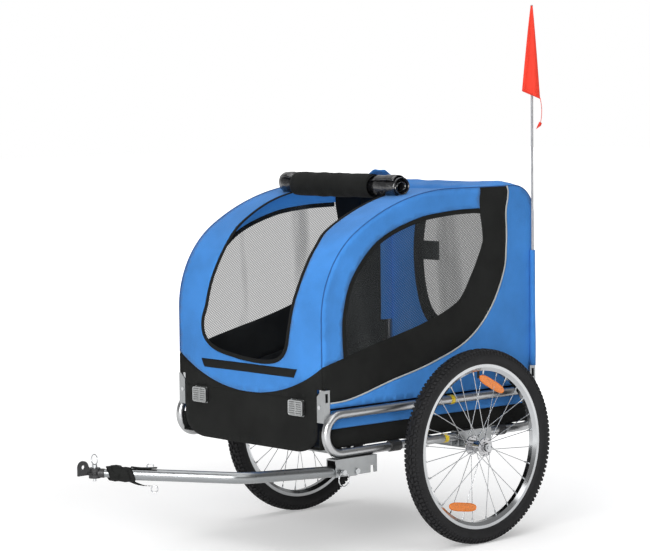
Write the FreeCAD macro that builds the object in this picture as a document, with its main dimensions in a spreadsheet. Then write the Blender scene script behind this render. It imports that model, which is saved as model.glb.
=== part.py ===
"""Dog bike trailer with 20 inch wheels: a folding tube frame, a fabric cabin, a tow arm and a flag.

Millimetres. The origin lies on the ground, midway along the overall length and width.
The front of the trailer is towards -Y, its left side towards +X, and +Z is up.
"""
import FreeCAD, Part
import math
import os
import Sketcher
from FreeCAD import Placement, Rotation, Vector

# Driving dimensions in millimetres and degrees
SIZES = {
    # wheels
    "track": 693.0,
    "tyre_radius": 250.0,
    "tyre_section": 46.0,
    "tyre_wall": 3.5,
    "tread_depth": 4.0,
    "tread_groove": 6.0,
    "tread_inset": 4.5,
    "bead_gap": 0.5,
    "rim_lip_radius": 211.0,
    "rim_shoulder_radius": 203.0,
    "rim_bed_radius": 194.0,
    "rim_width": 27.0,
    "rim_bed_width": 13.0,
    "rim_wall": 1.6,
    "inner_tube_gap": 0.4,
    "inner_tube_wall": 1.5,
    "valve_radius": 3.2,
    "valve_length": 34.0,
    "spoke_radius": 1.0,
    "spoke_head_radius": 1.8,
    "spoke_circle_radius": 19.5,
    "spoke_stand_off": 2.4,
    "nipple_radius": 2.1,
    "nipple_length": 11.0,
    "spoke_hole_gap": 0.35,
    "hub_flange_spread": 46.0,
    "hub_flange_radius": 24.5,
    "hub_flange_wall": 3.0,
    "hub_barrel_radius": 13.5,
    "hub_length": 56.0,
    "hub_bore_radius": 8.5,
    "bearing_outer_radius": 11.0,
    "bearing_width": 8.0,
    "reflector_length": 62.0,
    "reflector_height": 20.0,
    "reflector_depth": 5.0,
    "reflector_radius": 152.0,
    # quick release axles
    "axle_radius": 6.0,
    "running_gap": 0.05,
    "axle_head_radius": 9.0,
    "axle_head_length": 6.0,
    "axle_collar_radius": 9.5,
    "axle_collar_length": 5.0,
    "axle_grip_length": 62.0,
    "button_radius": 4.5,
    "button_stem_radius": 2.6,
    "button_stem_length": 22.0,
    "button_proud": 3.0,
    "button_travel": 3.0,
    "end_gap": 0.4,
    # side loops and cross tubes
    "loop_wheel_gap": 61.5,
    "loop_tube_radius": 11.0,
    "loop_tube_wall": 1.5,
    "loop_low_z": 271.5,
    "loop_high_z": 368.0,
    "loop_front_reach": 420.0,
    "loop_rear_reach": 228.0,
    "loop_joint_reach": 240.0,
    "loop_joint_gap": 0.5,
    "sleeve_length": 34.0,
    "sleeve_wall": 2.6,
    "clamp_rear_reach": 142.0,
    "clamp_length": 24.0,
    "marker_length": 12.0,
    "marker_wall": 0.8,
    "marker_high_reach": 38.0,
    "marker_low_reach": 62.0,
    "cross_tube_radius": 9.5,
    "cross_tube_wall": 1.5,
    "cross_tube_inset": 20.0,
    "weld_gap": 0.2,
    "axle_tube_radius": 10.2,
    "saddle_length": 120.0,
    "saddle_rear_reach": 95.0,
    "saddle_wall": 2.5,
    "saddle_leg_z": 247.0,
    "saddle_hole_radius": 4.0,
    "saddle_hole_pitch": 24.0,
    # fabric cabin
    "cabin_loop_inset": 8.0,
    "cabin_front_reach": 472.0,
    "cabin_rear_reach": 281.0,
    "roof_z": 907.0,
    "brow_radius": 250.0,
    "brow_end_angle": 32.0,
    "roof_radius": 625.0,
    "rear_corner_radius": 75.0,
    "fabric_wall": 1.5,
    "fabric_gap": 0.4,
    "cover_low_z": 405.0,
    "panel_low_z": 382.0,
    "door_margin": 109.0,
    "door_low_z": 478.0,
    "door_corner_radius": 75.0,
    "door_top_reach": 190.0,
    "roll_core_radius": 6.0,
    "roll_pitch": 6.2,
    "roll_wall": 4.2,
    "roll_overlap": 42.0,
    "roll_lean_angle": 11.5,
    "rear_window_margin": 117.0,
    "rear_window_low_z": 520.0,
    "rear_window_high_z": 800.0,
    "rear_window_radius": 60.0,
    "side_window_front_reach": 402.0,
    "side_window_rear": 86.0,
    "side_window_low_front_z": 504.0,
    "side_window_low_rear_z": 612.0,
    "side_window_bend_z": 750.0,
    "side_window_high_z": 851.0,
    "side_window_brow_z": 705.0,
    "side_window_brow_reach": 235.0,
    "side_window_big_radius": 190.0,
    "side_window_small_radius": 24.0,
    "mesh_wall": 0.8,
    "tub_inset": 11.0,
    "tub_low_z": 264.0,
    "tub_side_z": 376.0,
    "tub_front_gap": 2.0,
    "board_wall": 4.0,
    "board_margin": 8.0,
    "front_reflector_length": 54.0,
    "front_reflector_height": 38.0,
    "front_reflector_depth": 9.0,
    "front_reflector_inset": 89.0,
    "front_reflector_z": 381.0,
    # side hoops and hinge brackets
    "hoop_tube_radius": 8.0,
    "hoop_tube_wall": 1.2,
    "hoop_knuckle_wall": 1.0,
    "hinge_z": 388.0,
    "bracket_wall": 2.0,
    "bracket_low_z": 350.0,
    "bracket_high_z": 430.0,
    "bracket_web_gap": 5.0,
    "bracket_inset": 9.0,
    "bracket_taper": 16.0,
    "bracket_side_gap": 0.6,
    "rivet_radius": 3.0,
    "rivet_head_radius": 5.0,
    "rivet_head_length": 1.6,
    "bracket_slot_z": 400.0,
    "bracket_slot_height": 22.0,
    "bracket_slot_width": 9.0,
    # tow channel and tow arm
    "tow_pivot_reach": 383.0,
    "tow_pivot_z": 226.0,
    "channel_length": 137.0,
    "channel_front_part": 69.0,
    "channel_low_z": 217.0,
    "channel_wall": 3.0,
    "channel_gap": 0.5,
    "pivot_bolt_radius": 4.0,
    "bolt_head_radius": 7.0,
    "bolt_head_length": 5.0,
    "lock_pin_reach": 52.0,
    "lock_pin_radius": 4.0,
    "lock_notch_gap": 1.6,
    "lock_pin_stub": 6.0,
    "lock_head_radius": 6.5,
    "lock_head_length": 8.0,
    "lock_ring_radius": 17.0,
    "ring_wire_radius": 1.4,
    "arm_tube_radius": 14.0,
    "arm_tube_wall": 1.8,
    "arm_tail": 10.0,
    "arm_first_run": 346.5,
    "arm_rise_angle": 3.4,
    "arm_inward_angle": 44.1,
    "arm_second_rise_angle": 2.4,
    "arm_second_run": 308.0,
    "arm_bend_radius": 95.0,
    "rod_radius": 9.7,
    "rod_length": 24.0,
    "rod_insert": 45.0,
    "rod_gap": 0.15,
    "spigot_radius": 6.0,
    "spigot_length": 11.0,
    "knuckle_neck_radius": 11.0,
    "knuckle_neck_length": 24.0,
    "knuckle_puck_radius": 14.0,
    "knuckle_puck_height": 24.0,
    "tongue_radius": 11.0,
    "tongue_wall": 6.0,
    "tongue_gap": 0.5,
    "fork_mouth_back": 8.0,
    "hitch_plate_wall": 5.0,
    "hitch_web_start": 17.0,
    "hitch_eye_reach": 34.0,
    "hitch_eye_rise": 17.0,
    "hitch_eye_radius": 15.0,
    "hitch_eye_bore": 5.25,
    "hitch_pin_radius": 4.0,
    "hitch_ring_radius": 12.0,
    "strap_wall": 3.0,
    "strap_length": 96.0,
    "strap_back": 30.0,
    "strap_tail_length": 24.0,
    "strap_tail_width": 22.0,
    "strap_ring_radius": 8.0,
    # flag
    "flag_front_step": 12.6,
    "flag_pole_radius": 3.2,
    "flag_pole_top_z": 1376.0,
    "flag_pocket_radius": 8.0,
    "flag_pocket_gap": 0.5,
    "flag_pocket_rise": 0.4,
    "flag_pocket_high_z": 735.0,
    "flag_pocket_floor": 4.0,
    "flag_turn_angle": 48.0,
    "flag_hoist": 222.0,
    "flag_slope": 21.0,
    "flag_left_spread": 27.0,
    "flag_right_spread": 21.0,
    "flag_fold": 7.0,
    "flag_head_width": 5.0,
    "flag_wall": 1.2,
    "flag_tail_length": 68.0,
    "flag_tail_width": 3.0,
    "flag_tip_length": 18.0,
    "flag_tip_width": 14.0,
    "cut_overrun": 5.0,
}
SPOKE_COUNT = 28
SPOKE_CROSSINGS = 2
TREAD_COUNT = 40
ROLL_HALF_TURNS = 8
REFLECTOR_TURNS = (-14, -205)

doc = FreeCAD.newDocument("trailer")
sheet = doc.addObject("Spreadsheet::Sheet", "dims")
for row, (alias, number) in enumerate(SIZES.items(), start=1):
    sheet.set(f"A{row}", alias)
    sheet.set(f"B{row}", str(number))
    sheet.setAlias(f"B{row}", alias)
doc.recompute()


class Size:
    """A length or angle that knows its value and the sheet formula it comes from."""

    def __init__(self, value, formula):
        self.value = value
        self.formula = formula

    def __float__(self):
        return self.value

    def __add__(self, other):
        other = as_size(other)
        return Size(self.value + other.value, f"({self.formula} + {other.formula})")

    def __sub__(self, other):
        other = as_size(other)
        return Size(self.value - other.value, f"({self.formula} - {other.formula})")

    def __mul__(self, other):
        other = as_size(other)
        return Size(self.value * other.value, f"({self.formula} * {other.formula})")

    def __truediv__(self, other):
        other = as_size(other)
        return Size(self.value / other.value, f"({self.formula} / {other.formula})")

    def __neg__(self):
        return Size(-self.value, f"(-1 * {self.formula})")


def as_size(number):
    """A plain ratio becomes a size with a constant formula."""
    if isinstance(number, Size):
        return number
    return Size(float(number), repr(float(number)))


class Dimensions:
    """The sheet's cells as attributes."""

    def __init__(self):
        for name in SIZES:
            setattr(self, name, Size(float(sheet.get(name)), f"dims.{name}"))


def sine(angle):
    return Size(math.sin(math.radians(angle.value)), f"sin({angle.formula} * 1 deg)")


def cosine(angle):
    return Size(math.cos(math.radians(angle.value)), f"cos({angle.formula} * 1 deg)")


d = Dimensions()
ZERO = as_size(0)
PARTS = {}

# Places that several pieces share
first_plan = d.arm_first_run * cosine(d.arm_rise_angle)
second_run = d.arm_second_run + d.rod_length + d.knuckle_neck_length
second_plan = second_run * cosine(d.arm_second_rise_angle)
hitch_ahead = d.tow_pivot_reach + first_plan + second_plan * cosine(d.arm_inward_angle)
front_reach = hitch_ahead + d.hitch_eye_reach + d.hitch_eye_radius
flag_reach = d.cabin_rear_reach - d.flag_front_step
loop_bend_radius = (d.loop_high_z - d.loop_low_z) / 2
rear_reach = d.loop_rear_reach + loop_bend_radius + d.loop_tube_radius
axle_y = (front_reach - rear_reach) / 2
wheel_x = d.track / 2
loop_x = wheel_x - d.loop_wheel_gap
cabin_half_width = loop_x - d.cabin_loop_inset
tub_half_width = cabin_half_width - d.tub_inset
door_half_width = cabin_half_width - d.door_margin
roll_half_length = door_half_width + d.roll_overlap
rear_window_half_width = cabin_half_width - d.rear_window_margin
front_reflector_x = cabin_half_width - d.front_reflector_inset
flag_x = cabin_half_width + d.fabric_gap + d.flag_pocket_radius
axle_z = d.tyre_radius
hub_end = d.hub_length / 2
loop_front_y = axle_y - d.loop_front_reach
loop_rear_y = axle_y + d.loop_rear_reach
hoop_inset = d.fabric_wall + d.fabric_gap + d.hoop_tube_radius
hoop_x = cabin_half_width - hoop_inset
hoop_front_y = axle_y - d.cabin_front_reach + hoop_inset
hoop_rear_y = axle_y + d.cabin_rear_reach - hoop_inset
cabin_front_y = axle_y - d.cabin_front_reach
cabin_rear_y = axle_y + d.cabin_rear_reach
tow_y = axle_y - d.tow_pivot_reach
flag_pocket_low_z = d.bracket_high_z + d.flag_pocket_rise


def vec(x, y, z):
    return Vector(float(x), float(y), float(z))


def bind(obj, **formulas):
    """Tie each property of an object to the sheet."""
    for name, value in formulas.items():
        obj.setExpression(name, as_size(value).formula)


def place(obj, x=ZERO, y=ZERO, z=ZERO):
    """Tie an object's position to the sheet."""
    for axis, value in (("x", x), ("y", y), ("z", z)):
        obj.setExpression(f"Placement.Base.{axis}", as_size(value).formula)


AXIS_TURNS = {
    "x": Rotation(Vector(0, 1, 0), 90),
    "y": Rotation(Vector(1, 0, 0), -90),
    "z": Rotation(),
}


def cylinder(name, radius, length, axis, x=ZERO, y=ZERO, z=ZERO):
    obj = doc.addObject("Part::Cylinder", name)
    obj.Placement = Placement(Vector(), AXIS_TURNS[axis])
    bind(obj, Radius=radius, Height=length)
    place(obj, x, y, z)
    return obj


def box(name, length, width, height, x=ZERO, y=ZERO, z=ZERO):
    """A box with its lowest corner at x, y, z."""
    obj = doc.addObject("Part::Box", name)
    bind(obj, Length=length, Width=width, Height=height)
    place(obj, x, y, z)
    return obj


def torus(name, ring_radius, wire_radius, axis, x=ZERO, y=ZERO, z=ZERO):
    obj = doc.addObject("Part::Torus", name)
    obj.Placement = Placement(Vector(), AXIS_TURNS[axis])
    bind(obj, Radius1=ring_radius, Radius2=wire_radius)
    place(obj, x, y, z)
    return obj


def cut(name, base, tool):
    obj = doc.addObject("Part::Cut", name)
    obj.Base = base
    obj.Tool = tool
    return obj


def fuse(name, shapes):
    obj = doc.addObject("Part::MultiFuse", name)
    obj.Shapes = shapes
    return obj


def group(name, members):
    obj = doc.addObject("Part::Compound", name)
    obj.Links = members
    return obj


def feature(name, shape):
    obj = doc.addObject("Part::Feature", name)
    obj.Shape = shape
    return obj


def mirrored(name, source):
    """The same piece on the right side of the trailer."""
    obj = doc.addObject("Part::Mirroring", name)
    obj.Source = source
    obj.Normal = Vector(1, 0, 0)
    obj.Base = Vector()
    return obj


def part(label, obj):
    """Name a finished sub-part; its label names its file."""
    obj.Label = label
    PARTS[label] = obj
    return obj


def both_sides(label, obj):
    """A left piece and its mirror image on the right."""
    part(f"{label}_left", obj)
    part(f"{label}_right", mirrored(f"{label}_right_mirror", obj))


def origin_plane(body, role):
    for item in body.Origin.OriginFeatures:
        if item.Role == role:
            return item
    raise ValueError(role)


def outline_sketch(body, name, role, points):
    """A closed polygon whose corners are tied to the sheet."""
    sketch = body.newObject("Sketcher::SketchObject", name)
    sketch.AttachmentSupport = (origin_plane(body, role), [""])
    sketch.MapMode = "FlatFace"
    count = len(points)
    corners = [Vector(float(u), float(v), 0) for u, v in points]
    for i in range(count):
        sketch.addGeometry(Part.LineSegment(corners[i], corners[(i + 1) % count]), False)
    for i in range(count):
        sketch.addConstraint(Sketcher.Constraint("Coincident", i, 2, (i + 1) % count, 1))
    for i, (u, v) in enumerate(points):
        for kind, value in (("DistanceX", u), ("DistanceY", v)):
            size = as_size(value)
            index = sketch.addConstraint(Sketcher.Constraint(kind, -1, 1, i, 1, size.value))
            sketch.setExpression(f"Constraints[{index}]", size.formula)
    return sketch


def revolved_body(name, points):
    """A body turned about the X axis from a polygon of (along X, radius)."""
    body = doc.addObject("PartDesign::Body", name)
    sketch = outline_sketch(body, f"{name}_profile", "XZ_Plane", points)
    turned = body.newObject("PartDesign::Revolution", f"{name}_turned")
    turned.Profile = sketch
    turned.ReferenceAxis = (sketch, ["H_Axis"])
    turned.Angle = 360
    body.Tip = turned
    return body


def padded_body(name, role, points, length):
    """A body pushed out of a polygon, half to each side of the plane."""
    body = doc.addObject("PartDesign::Body", name)
    sketch = outline_sketch(body, f"{name}_profile", role, points)
    pad = body.newObject("PartDesign::Pad", f"{name}_pad")
    pad.Profile = sketch
    pad.SideType = "Symmetric"
    bind(pad, Length=length)
    body.Tip = pad
    return body


def corner_arc(before, corner, after, radius):
    """The arc that rounds one corner of a path, with its start and end."""
    to_before = (before - corner).normalize()
    to_after = (after - corner).normalize()
    half = to_before.getAngle(to_after) / 2
    reach = radius / math.tan(half)
    start = corner + to_before * reach
    end = corner + to_after * reach
    middle_line = (to_before + to_after).normalize()
    middle = corner + middle_line * (radius / math.sin(half) - radius)
    return start, middle, end


def rounded_edges(points, radii, closed):
    """Straight runs joined by tangent arcs; a radius of zero keeps its corner sharp."""
    count = len(points)
    arcs = []
    for i in range(count):
        if not closed and i in (0, count - 1) or radii[i] == 0:
            arcs.append((points[i], None, points[i]))
        else:
            arcs.append(corner_arc(points[i - 1], points[i], points[(i + 1) % count], radii[i]))
    edges = []
    runs = count if closed else count - 1
    for i in range(count):
        start, middle, end = arcs[i]
        if middle is not None:
            edges.append(Part.Arc(start, middle, end).toShape())
        if i < runs:
            edges.append(Part.LineSegment(end, arcs[(i + 1) % count][0]).toShape())
    return edges


def rod_along(edges, radius):
    """A round bar swept along a path."""
    path = Part.Wire(edges)
    first = path.Edges[0]
    start = first.valueAt(first.FirstParameter)
    heading = first.tangentAt(first.FirstParameter)
    ring = Part.Wire([Part.Circle(start, heading, float(radius)).toShape()])
    return path.makePipeShell([ring], True, False)


def tube_along(edges, radius, wall):
    """A round tube, open at both ends, swept along a path."""
    return rod_along(edges, radius).cut(rod_along(edges, radius - wall))


def sheet_along_x(edges, half_width):
    """A closed outline in the YZ plane, pushed out to both sides of the middle."""
    face = Part.Face(Part.Wire(edges))
    face.translate(Vector(-float(half_width), 0, 0))
    return face.extrude(Vector(float(half_width * 2), 0, 0))


def rounded_slab(points, radii, push):
    """A flat outline with rounded corners, pushed along a vector."""
    wire = Part.Wire(Part.__sortEdges__(rounded_edges(points, radii, True)))
    return Part.Face(wire).extrude(push)


# Cabin side profile: front wall, brow arc, roof arc, flat roof and rear corner
def cabin_profile(inset, low_z):
    """Open path from the front foot over the roof to the rear foot, moved inward by inset."""
    inset = float(inset)
    sweep = math.radians(float(d.brow_end_angle))
    brow_start_z = d.roof_z - d.brow_radius * math.cos(sweep) - d.roof_radius * (1 - math.cos(sweep))
    brow_centre = vec(ZERO, cabin_front_y + d.brow_radius, brow_start_z)
    roof_start_y = cabin_front_y + d.brow_radius * (1 - math.sin(sweep)) + d.roof_radius * math.sin(sweep)
    roof_centre = vec(ZERO, roof_start_y, d.roof_z - d.roof_radius)
    rear_centre = vec(ZERO, cabin_rear_y - d.rear_corner_radius, d.roof_z - d.rear_corner_radius)

    def on_arc(centre, radius, angle):
        reach = float(radius) - inset
        return centre + Vector(0, -math.sin(angle) * reach, math.cos(angle) * reach)

    right_angle = math.pi / 2
    brow = [on_arc(brow_centre, d.brow_radius, a) for a in (right_angle, (right_angle + sweep) / 2, sweep)]
    roof = [on_arc(roof_centre, d.roof_radius, a) for a in (sweep, sweep / 2, 0)]
    rear = [on_arc(rear_centre, d.rear_corner_radius, -a) for a in (0, right_angle / 2, right_angle)]
    front_foot = Vector(0, brow[0].y, float(low_z))
    rear_foot = Vector(0, rear[2].y, float(low_z))
    return [
        Part.LineSegment(front_foot, brow[0]).toShape(),
        Part.Arc(*brow).toShape(),
        Part.Arc(*roof).toShape(),
        Part.LineSegment(roof[2], rear[0]).toShape(),
        Part.Arc(*rear).toShape(),
        Part.LineSegment(rear[2], rear_foot).toShape(),
    ]


def profile_ring(outer_inset, inner_inset, first, last, low_z):
    """A closed strip between two insets of the profile, from one of its edges to another."""
    outer = cabin_profile(outer_inset, low_z)[first:last]
    inner = cabin_profile(inner_inset, low_z)[first:last]
    start = Part.LineSegment(outer[0].firstVertex().Point, inner[0].firstVertex().Point).toShape()
    end = Part.LineSegment(outer[-1].lastVertex().Point, inner[-1].lastVertex().Point).toShape()
    return Part.__sortEdges__(outer + inner + [start, end])


# Wheels
def tread_grooves():
    """Shoulder grooves, staggered between the two sides of the tyre."""
    length = float(d.tyre_section / 2 - d.tread_inset)
    width = float(d.tread_groove)
    low = float(d.tyre_radius - d.tread_depth)
    grooves = []
    for side in (0, 1):
        for i in range(TREAD_COUNT):
            start = float(d.tread_inset) if side else -float(d.tread_inset) - length
            block = Part.makeBox(length, width, float(d.tread_depth + d.cut_overrun))
            block.translate(Vector(start, -width / 2, low))
            block.rotate(Vector(), Vector(1, 0, 0), 360 * (i + side / 2) / TREAD_COUNT)
            grooves.append(block)
    return Part.makeCompound(grooves)


def tyre():
    casing_radius = d.tyre_section / 2
    ring_radius = d.tyre_radius - casing_radius
    casing = torus("tyre_casing", ring_radius, casing_radius, "x")
    hollow = torus("tyre_hollow", ring_radius, casing_radius - d.tyre_wall, "x")
    mouth = cylinder("tyre_mouth", d.rim_lip_radius + d.bead_gap, d.tyre_section, "x", -casing_radius)
    shell = cut("tyre_shell", casing, fuse("tyre_inside", [hollow, mouth]))
    treaded = cut("tyre_treaded", shell, feature("tread_grooves", tread_grooves()))
    return treaded


def inner_tube():
    casing_radius = d.tyre_section / 2
    ring_radius = d.tyre_radius - casing_radius
    outer_radius = casing_radius - d.tyre_wall - d.inner_tube_gap
    skin = torus("inner_tube_skin", ring_radius, outer_radius, "x")
    air = torus("inner_tube_air", ring_radius, outer_radius - d.inner_tube_wall, "x")
    valve_top = ring_radius - outer_radius + d.inner_tube_wall / 2
    valve = cylinder("valve_stem", d.valve_radius, d.valve_length, "z", ZERO, ZERO, valve_top - d.valve_length)
    return cut("inner_tube_ring", fuse("inner_tube_solid", [skin, valve]), air)


def rim():
    half = d.rim_width / 2
    bed = d.rim_bed_width / 2
    wall = d.rim_wall
    body = revolved_body("rim_body", [
        (-half, d.rim_lip_radius),
        (-half, d.rim_shoulder_radius),
        (-bed, d.rim_bed_radius),
        (bed, d.rim_bed_radius),
        (half, d.rim_shoulder_radius),
        (half, d.rim_lip_radius),
        (half - wall, d.rim_lip_radius),
        (half - wall, d.rim_shoulder_radius + wall),
        (bed - wall / 2, d.rim_bed_radius + wall),
        (-bed + wall / 2, d.rim_bed_radius + wall),
        (-half + wall, d.rim_shoulder_radius + wall),
        (-half + wall, d.rim_lip_radius),
    ])
    drills = []
    for start, end in spoke_lines():
        heading = (end - start).normalize()
        drills.append(Part.makeCylinder(
            float(d.nipple_radius + d.spoke_hole_gap), float(d.nipple_length * 2),
            end - heading * float(d.nipple_length), heading))
    hole_start = Vector(0, 0, float(d.rim_bed_radius - d.rim_wall))
    hole_length = float(d.rim_wall * 3)
    drills.append(Part.makeCylinder(float(d.valve_radius + d.spoke_hole_gap), hole_length, hole_start))
    return cut("rim_drilled", body, feature("rim_drills", Part.makeCompound(drills)))


def spoke_lines():
    """Start at the hub flange and end at the rim bed of every spoke, laced in crossing pairs."""
    lines = []
    step = 2 * math.pi / SPOKE_COUNT
    lacing_turn = 2 * math.pi * SPOKE_CROSSINGS / (SPOKE_COUNT / 2)
    rim_reach = float(d.rim_bed_radius + d.rim_wall)
    hub_reach = float(d.spoke_circle_radius)
    for i in range(SPOKE_COUNT):
        side = 1 if i % 2 else -1
        leading = 1 if (i // 2) % 2 else -1
        hub_angle = step * i
        rim_angle = hub_angle + leading * lacing_turn / 2 + step / 2
        stand = float(d.hub_flange_wall / 2 + d.spoke_stand_off) * leading
        hub_x = side * (float(d.hub_flange_spread / 2) + stand)
        rim_x = side * float(d.rim_bed_width / 4 - d.spoke_radius)
        start = Vector(hub_x, math.sin(hub_angle) * hub_reach, math.cos(hub_angle) * hub_reach)
        end = Vector(rim_x, math.sin(rim_angle) * rim_reach, math.cos(rim_angle) * rim_reach)
        lines.append((start, end))
    return lines


def spokes():
    """Each spoke is a straight wire with a headed elbow at the flange and a nipple at the rim."""
    solids = []
    radius = float(d.spoke_radius)
    mid_flange = float(d.hub_flange_spread / 2)
    for start, end in spoke_lines():
        heading = (end - start).normalize()
        length = (end - start).Length
        wire = Part.makeCylinder(radius, length, start, heading)
        side = 1 if start.x > 0 else -1
        outward = 1 if abs(start.x) > mid_flange else -1
        elbow_length = float(d.hub_flange_wall + d.spoke_stand_off + d.spoke_radius)
        across = Vector(-side * outward, 0, 0)
        elbow = Part.makeCylinder(radius, elbow_length, start, across)
        head_start = start + across * (elbow_length - radius)
        head = Part.makeCylinder(float(d.spoke_head_radius), radius, head_start, across)
        knee = Part.makeSphere(radius, start)
        nipple_start = end - heading * float(d.nipple_length)
        nipple = Part.makeCylinder(
            float(d.nipple_radius), float(d.nipple_length + d.rim_wall), nipple_start, heading)
        solids.append(wire.fuse([elbow, head, knee, nipple]).removeSplitter())
    return feature("spoke_set", Part.makeCompound([shape.Solids[0] for shape in solids]))


def hub():
    flange_in = d.hub_flange_spread / 2 - d.hub_flange_wall / 2
    flange_out = d.hub_flange_spread / 2 + d.hub_flange_wall / 2
    seat = hub_end - d.bearing_width - d.end_gap
    seat_radius = d.bearing_outer_radius + d.running_gap
    body = revolved_body("hub_body", [
        (-hub_end, seat_radius),
        (-hub_end, d.hub_barrel_radius),
        (-flange_out, d.hub_barrel_radius),
        (-flange_out, d.hub_flange_radius),
        (-flange_in, d.hub_flange_radius),
        (-flange_in, d.hub_barrel_radius),
        (flange_in, d.hub_barrel_radius),
        (flange_in, d.hub_flange_radius),
        (flange_out, d.hub_flange_radius),
        (flange_out, d.hub_barrel_radius),
        (hub_end, d.hub_barrel_radius),
        (hub_end, seat_radius),
        (seat, seat_radius),
        (seat, d.hub_bore_radius),
        (-seat, d.hub_bore_radius),
        (-seat, seat_radius),
    ])
    holes = []
    for start, end in spoke_lines():
        side = 1 if start.x > 0 else -1
        reach = Vector(side * float(d.hub_flange_spread / 2 - d.hub_flange_wall), start.y, start.z)
        holes.append(Part.makeCylinder(
            float(d.spoke_radius + d.spoke_hole_gap), float(d.hub_flange_wall * 2), reach, Vector(side, 0, 0)))
    return cut("hub_drilled", body, feature("hub_holes", Part.makeCompound(holes)))


def hub_bearings():
    rings = []
    for name, start in (("inner", -hub_end), ("outer", hub_end - d.bearing_width)):
        race = cylinder(f"bearing_{name}_race", d.bearing_outer_radius, d.bearing_width, "x", start)
        bore = cylinder(f"bearing_{name}_bore", d.axle_radius + d.running_gap, d.bearing_width, "x", start)
        rings.append(cut(f"bearing_{name}", race, bore))
    return group("bearing_pair", rings)


def wheel_reflectors():
    """Two flat reflectors clipped to spokes on the outer side, about opposite each other."""
    plates = []
    spread = float(d.hub_flange_spread / 2 - d.reflector_depth)
    fall = spread * float(d.reflector_radius / d.rim_bed_radius)
    clip_x = spread - fall
    for turn in REFLECTOR_TURNS:
        plate = Part.makeBox(float(d.reflector_depth), float(d.reflector_length), float(d.reflector_height))
        plate.translate(vec(clip_x, -d.reflector_length / 2, d.reflector_radius))
        plate = plate.makeFillet(float(d.reflector_depth / 3), plate.Edges)
        plate.rotate(Vector(), Vector(1, 0, 0), turn)
        plates.append(plate)
    grooves = [rod_along([Part.LineSegment(a, b).toShape()], d.spoke_radius + d.spoke_hole_gap)
               for a, b in spoke_lines()]
    cutter = Part.makeCompound(grooves)
    return feature("reflector_pair", Part.makeCompound([p.cut(cutter).Solids[0] for p in plates]))


def axle():
    """Stub axle with an outer head, an inner collar and a bore for its release button."""
    head_start = hub_end + d.end_gap
    head_end = head_start + d.axle_head_length
    collar_end = -hub_end - d.end_gap
    collar_start = collar_end - d.axle_collar_length
    tip = collar_start - d.axle_grip_length
    bore_radius = d.button_stem_radius + d.running_gap
    seat_radius = d.button_radius + d.running_gap
    seat_depth = head_end - d.button_travel - d.end_gap
    stem_end = seat_depth - d.button_stem_length - d.button_travel
    return revolved_body("axle_body", [
        (tip, ZERO),
        (tip, d.axle_radius - d.running_gap),
        (collar_start, d.axle_radius - d.running_gap),
        (collar_start, d.axle_collar_radius),
        (collar_end, d.axle_collar_radius),
        (collar_end, d.axle_radius),
        (head_start, d.axle_radius),
        (head_start, d.axle_head_radius),
        (head_end, d.axle_head_radius),
        (head_end, seat_radius),
        (seat_depth, seat_radius),
        (seat_depth, bore_radius),
        (stem_end, bore_radius),
        (stem_end, ZERO),
    ])


def release_button():
    head_end = hub_end + d.end_gap + d.axle_head_length
    face = head_end + d.button_proud
    under = head_end - d.end_gap / 2
    stem_end = under - d.button_stem_length
    return revolved_body("button_body", [
        (stem_end, ZERO),
        (stem_end, d.button_stem_radius),
        (under, d.button_stem_radius),
        (under, d.button_radius),
        (face, d.button_radius),
        (face, ZERO),
    ])


def wheel_piece(label, obj):
    """Put a wheel piece, drawn about its own centre, on the left axle and mirror it."""
    holder = doc.addObject("Part::Compound", f"{label}_at_wheel")
    holder.Links = [obj]
    place(holder, wheel_x, axle_y, axle_z)
    both_sides(label, holder)


def wheels():
    wheel_piece("tyre", tyre())
    wheel_piece("inner_tube", inner_tube())
    wheel_piece("rim", rim())
    wheel_piece("spokes", spokes())
    wheel_piece("hub", hub())
    wheel_piece("hub_bearings", hub_bearings())
    wheel_piece("wheel_reflectors", wheel_reflectors())
    wheel_piece("axle", axle())
    wheel_piece("release_button", release_button())


# Frame: side loops, sleeves, cross tubes and axle brackets
def loop_path(x):
    """The loop's centre line, from one side of its butt joint round to the other."""
    low = d.loop_low_z
    high = d.loop_high_z
    joint_y = axle_y - d.loop_joint_reach
    half_gap = d.loop_joint_gap / 2
    start = vec(x, joint_y - half_gap, low)
    front_low = vec(x, loop_front_y, low)
    front_tip = vec(x, loop_front_y - loop_bend_radius, (low + high) / 2)
    front_high = vec(x, loop_front_y, high)
    rear_high = vec(x, loop_rear_y, high)
    rear_tip = vec(x, loop_rear_y + loop_bend_radius, (low + high) / 2)
    rear_low = vec(x, loop_rear_y, low)
    end = vec(x, joint_y + half_gap, low)
    return [
        Part.LineSegment(start, front_low).toShape(),
        Part.Arc(front_low, front_tip, front_high).toShape(),
        Part.LineSegment(front_high, rear_high).toShape(),
        Part.Arc(rear_high, rear_tip, rear_low).toShape(),
        Part.LineSegment(rear_low, end).toShape(),
    ]


def ring_on_loop(name, length, wall, y, z):
    """A short sleeve round a straight run of the left loop."""
    outer = cylinder(f"{name}_outer", d.loop_tube_radius + d.weld_gap + wall, length, "y", loop_x, y, z)
    inner = cylinder(f"{name}_inner", d.loop_tube_radius + d.weld_gap, length, "y", loop_x, y, z)
    return cut(name, outer, inner)


def hollow_bar(name, radius, wall, half_length, y, z):
    """A straight tube across the trailer."""
    skin = cylinder(f"{name}_skin", radius, half_length * 2, "x", -half_length, y, z)
    bore = cylinder(f"{name}_bore", radius - wall, half_length * 2, "x", -half_length, y, z)
    return cut(name, skin, bore)


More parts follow.
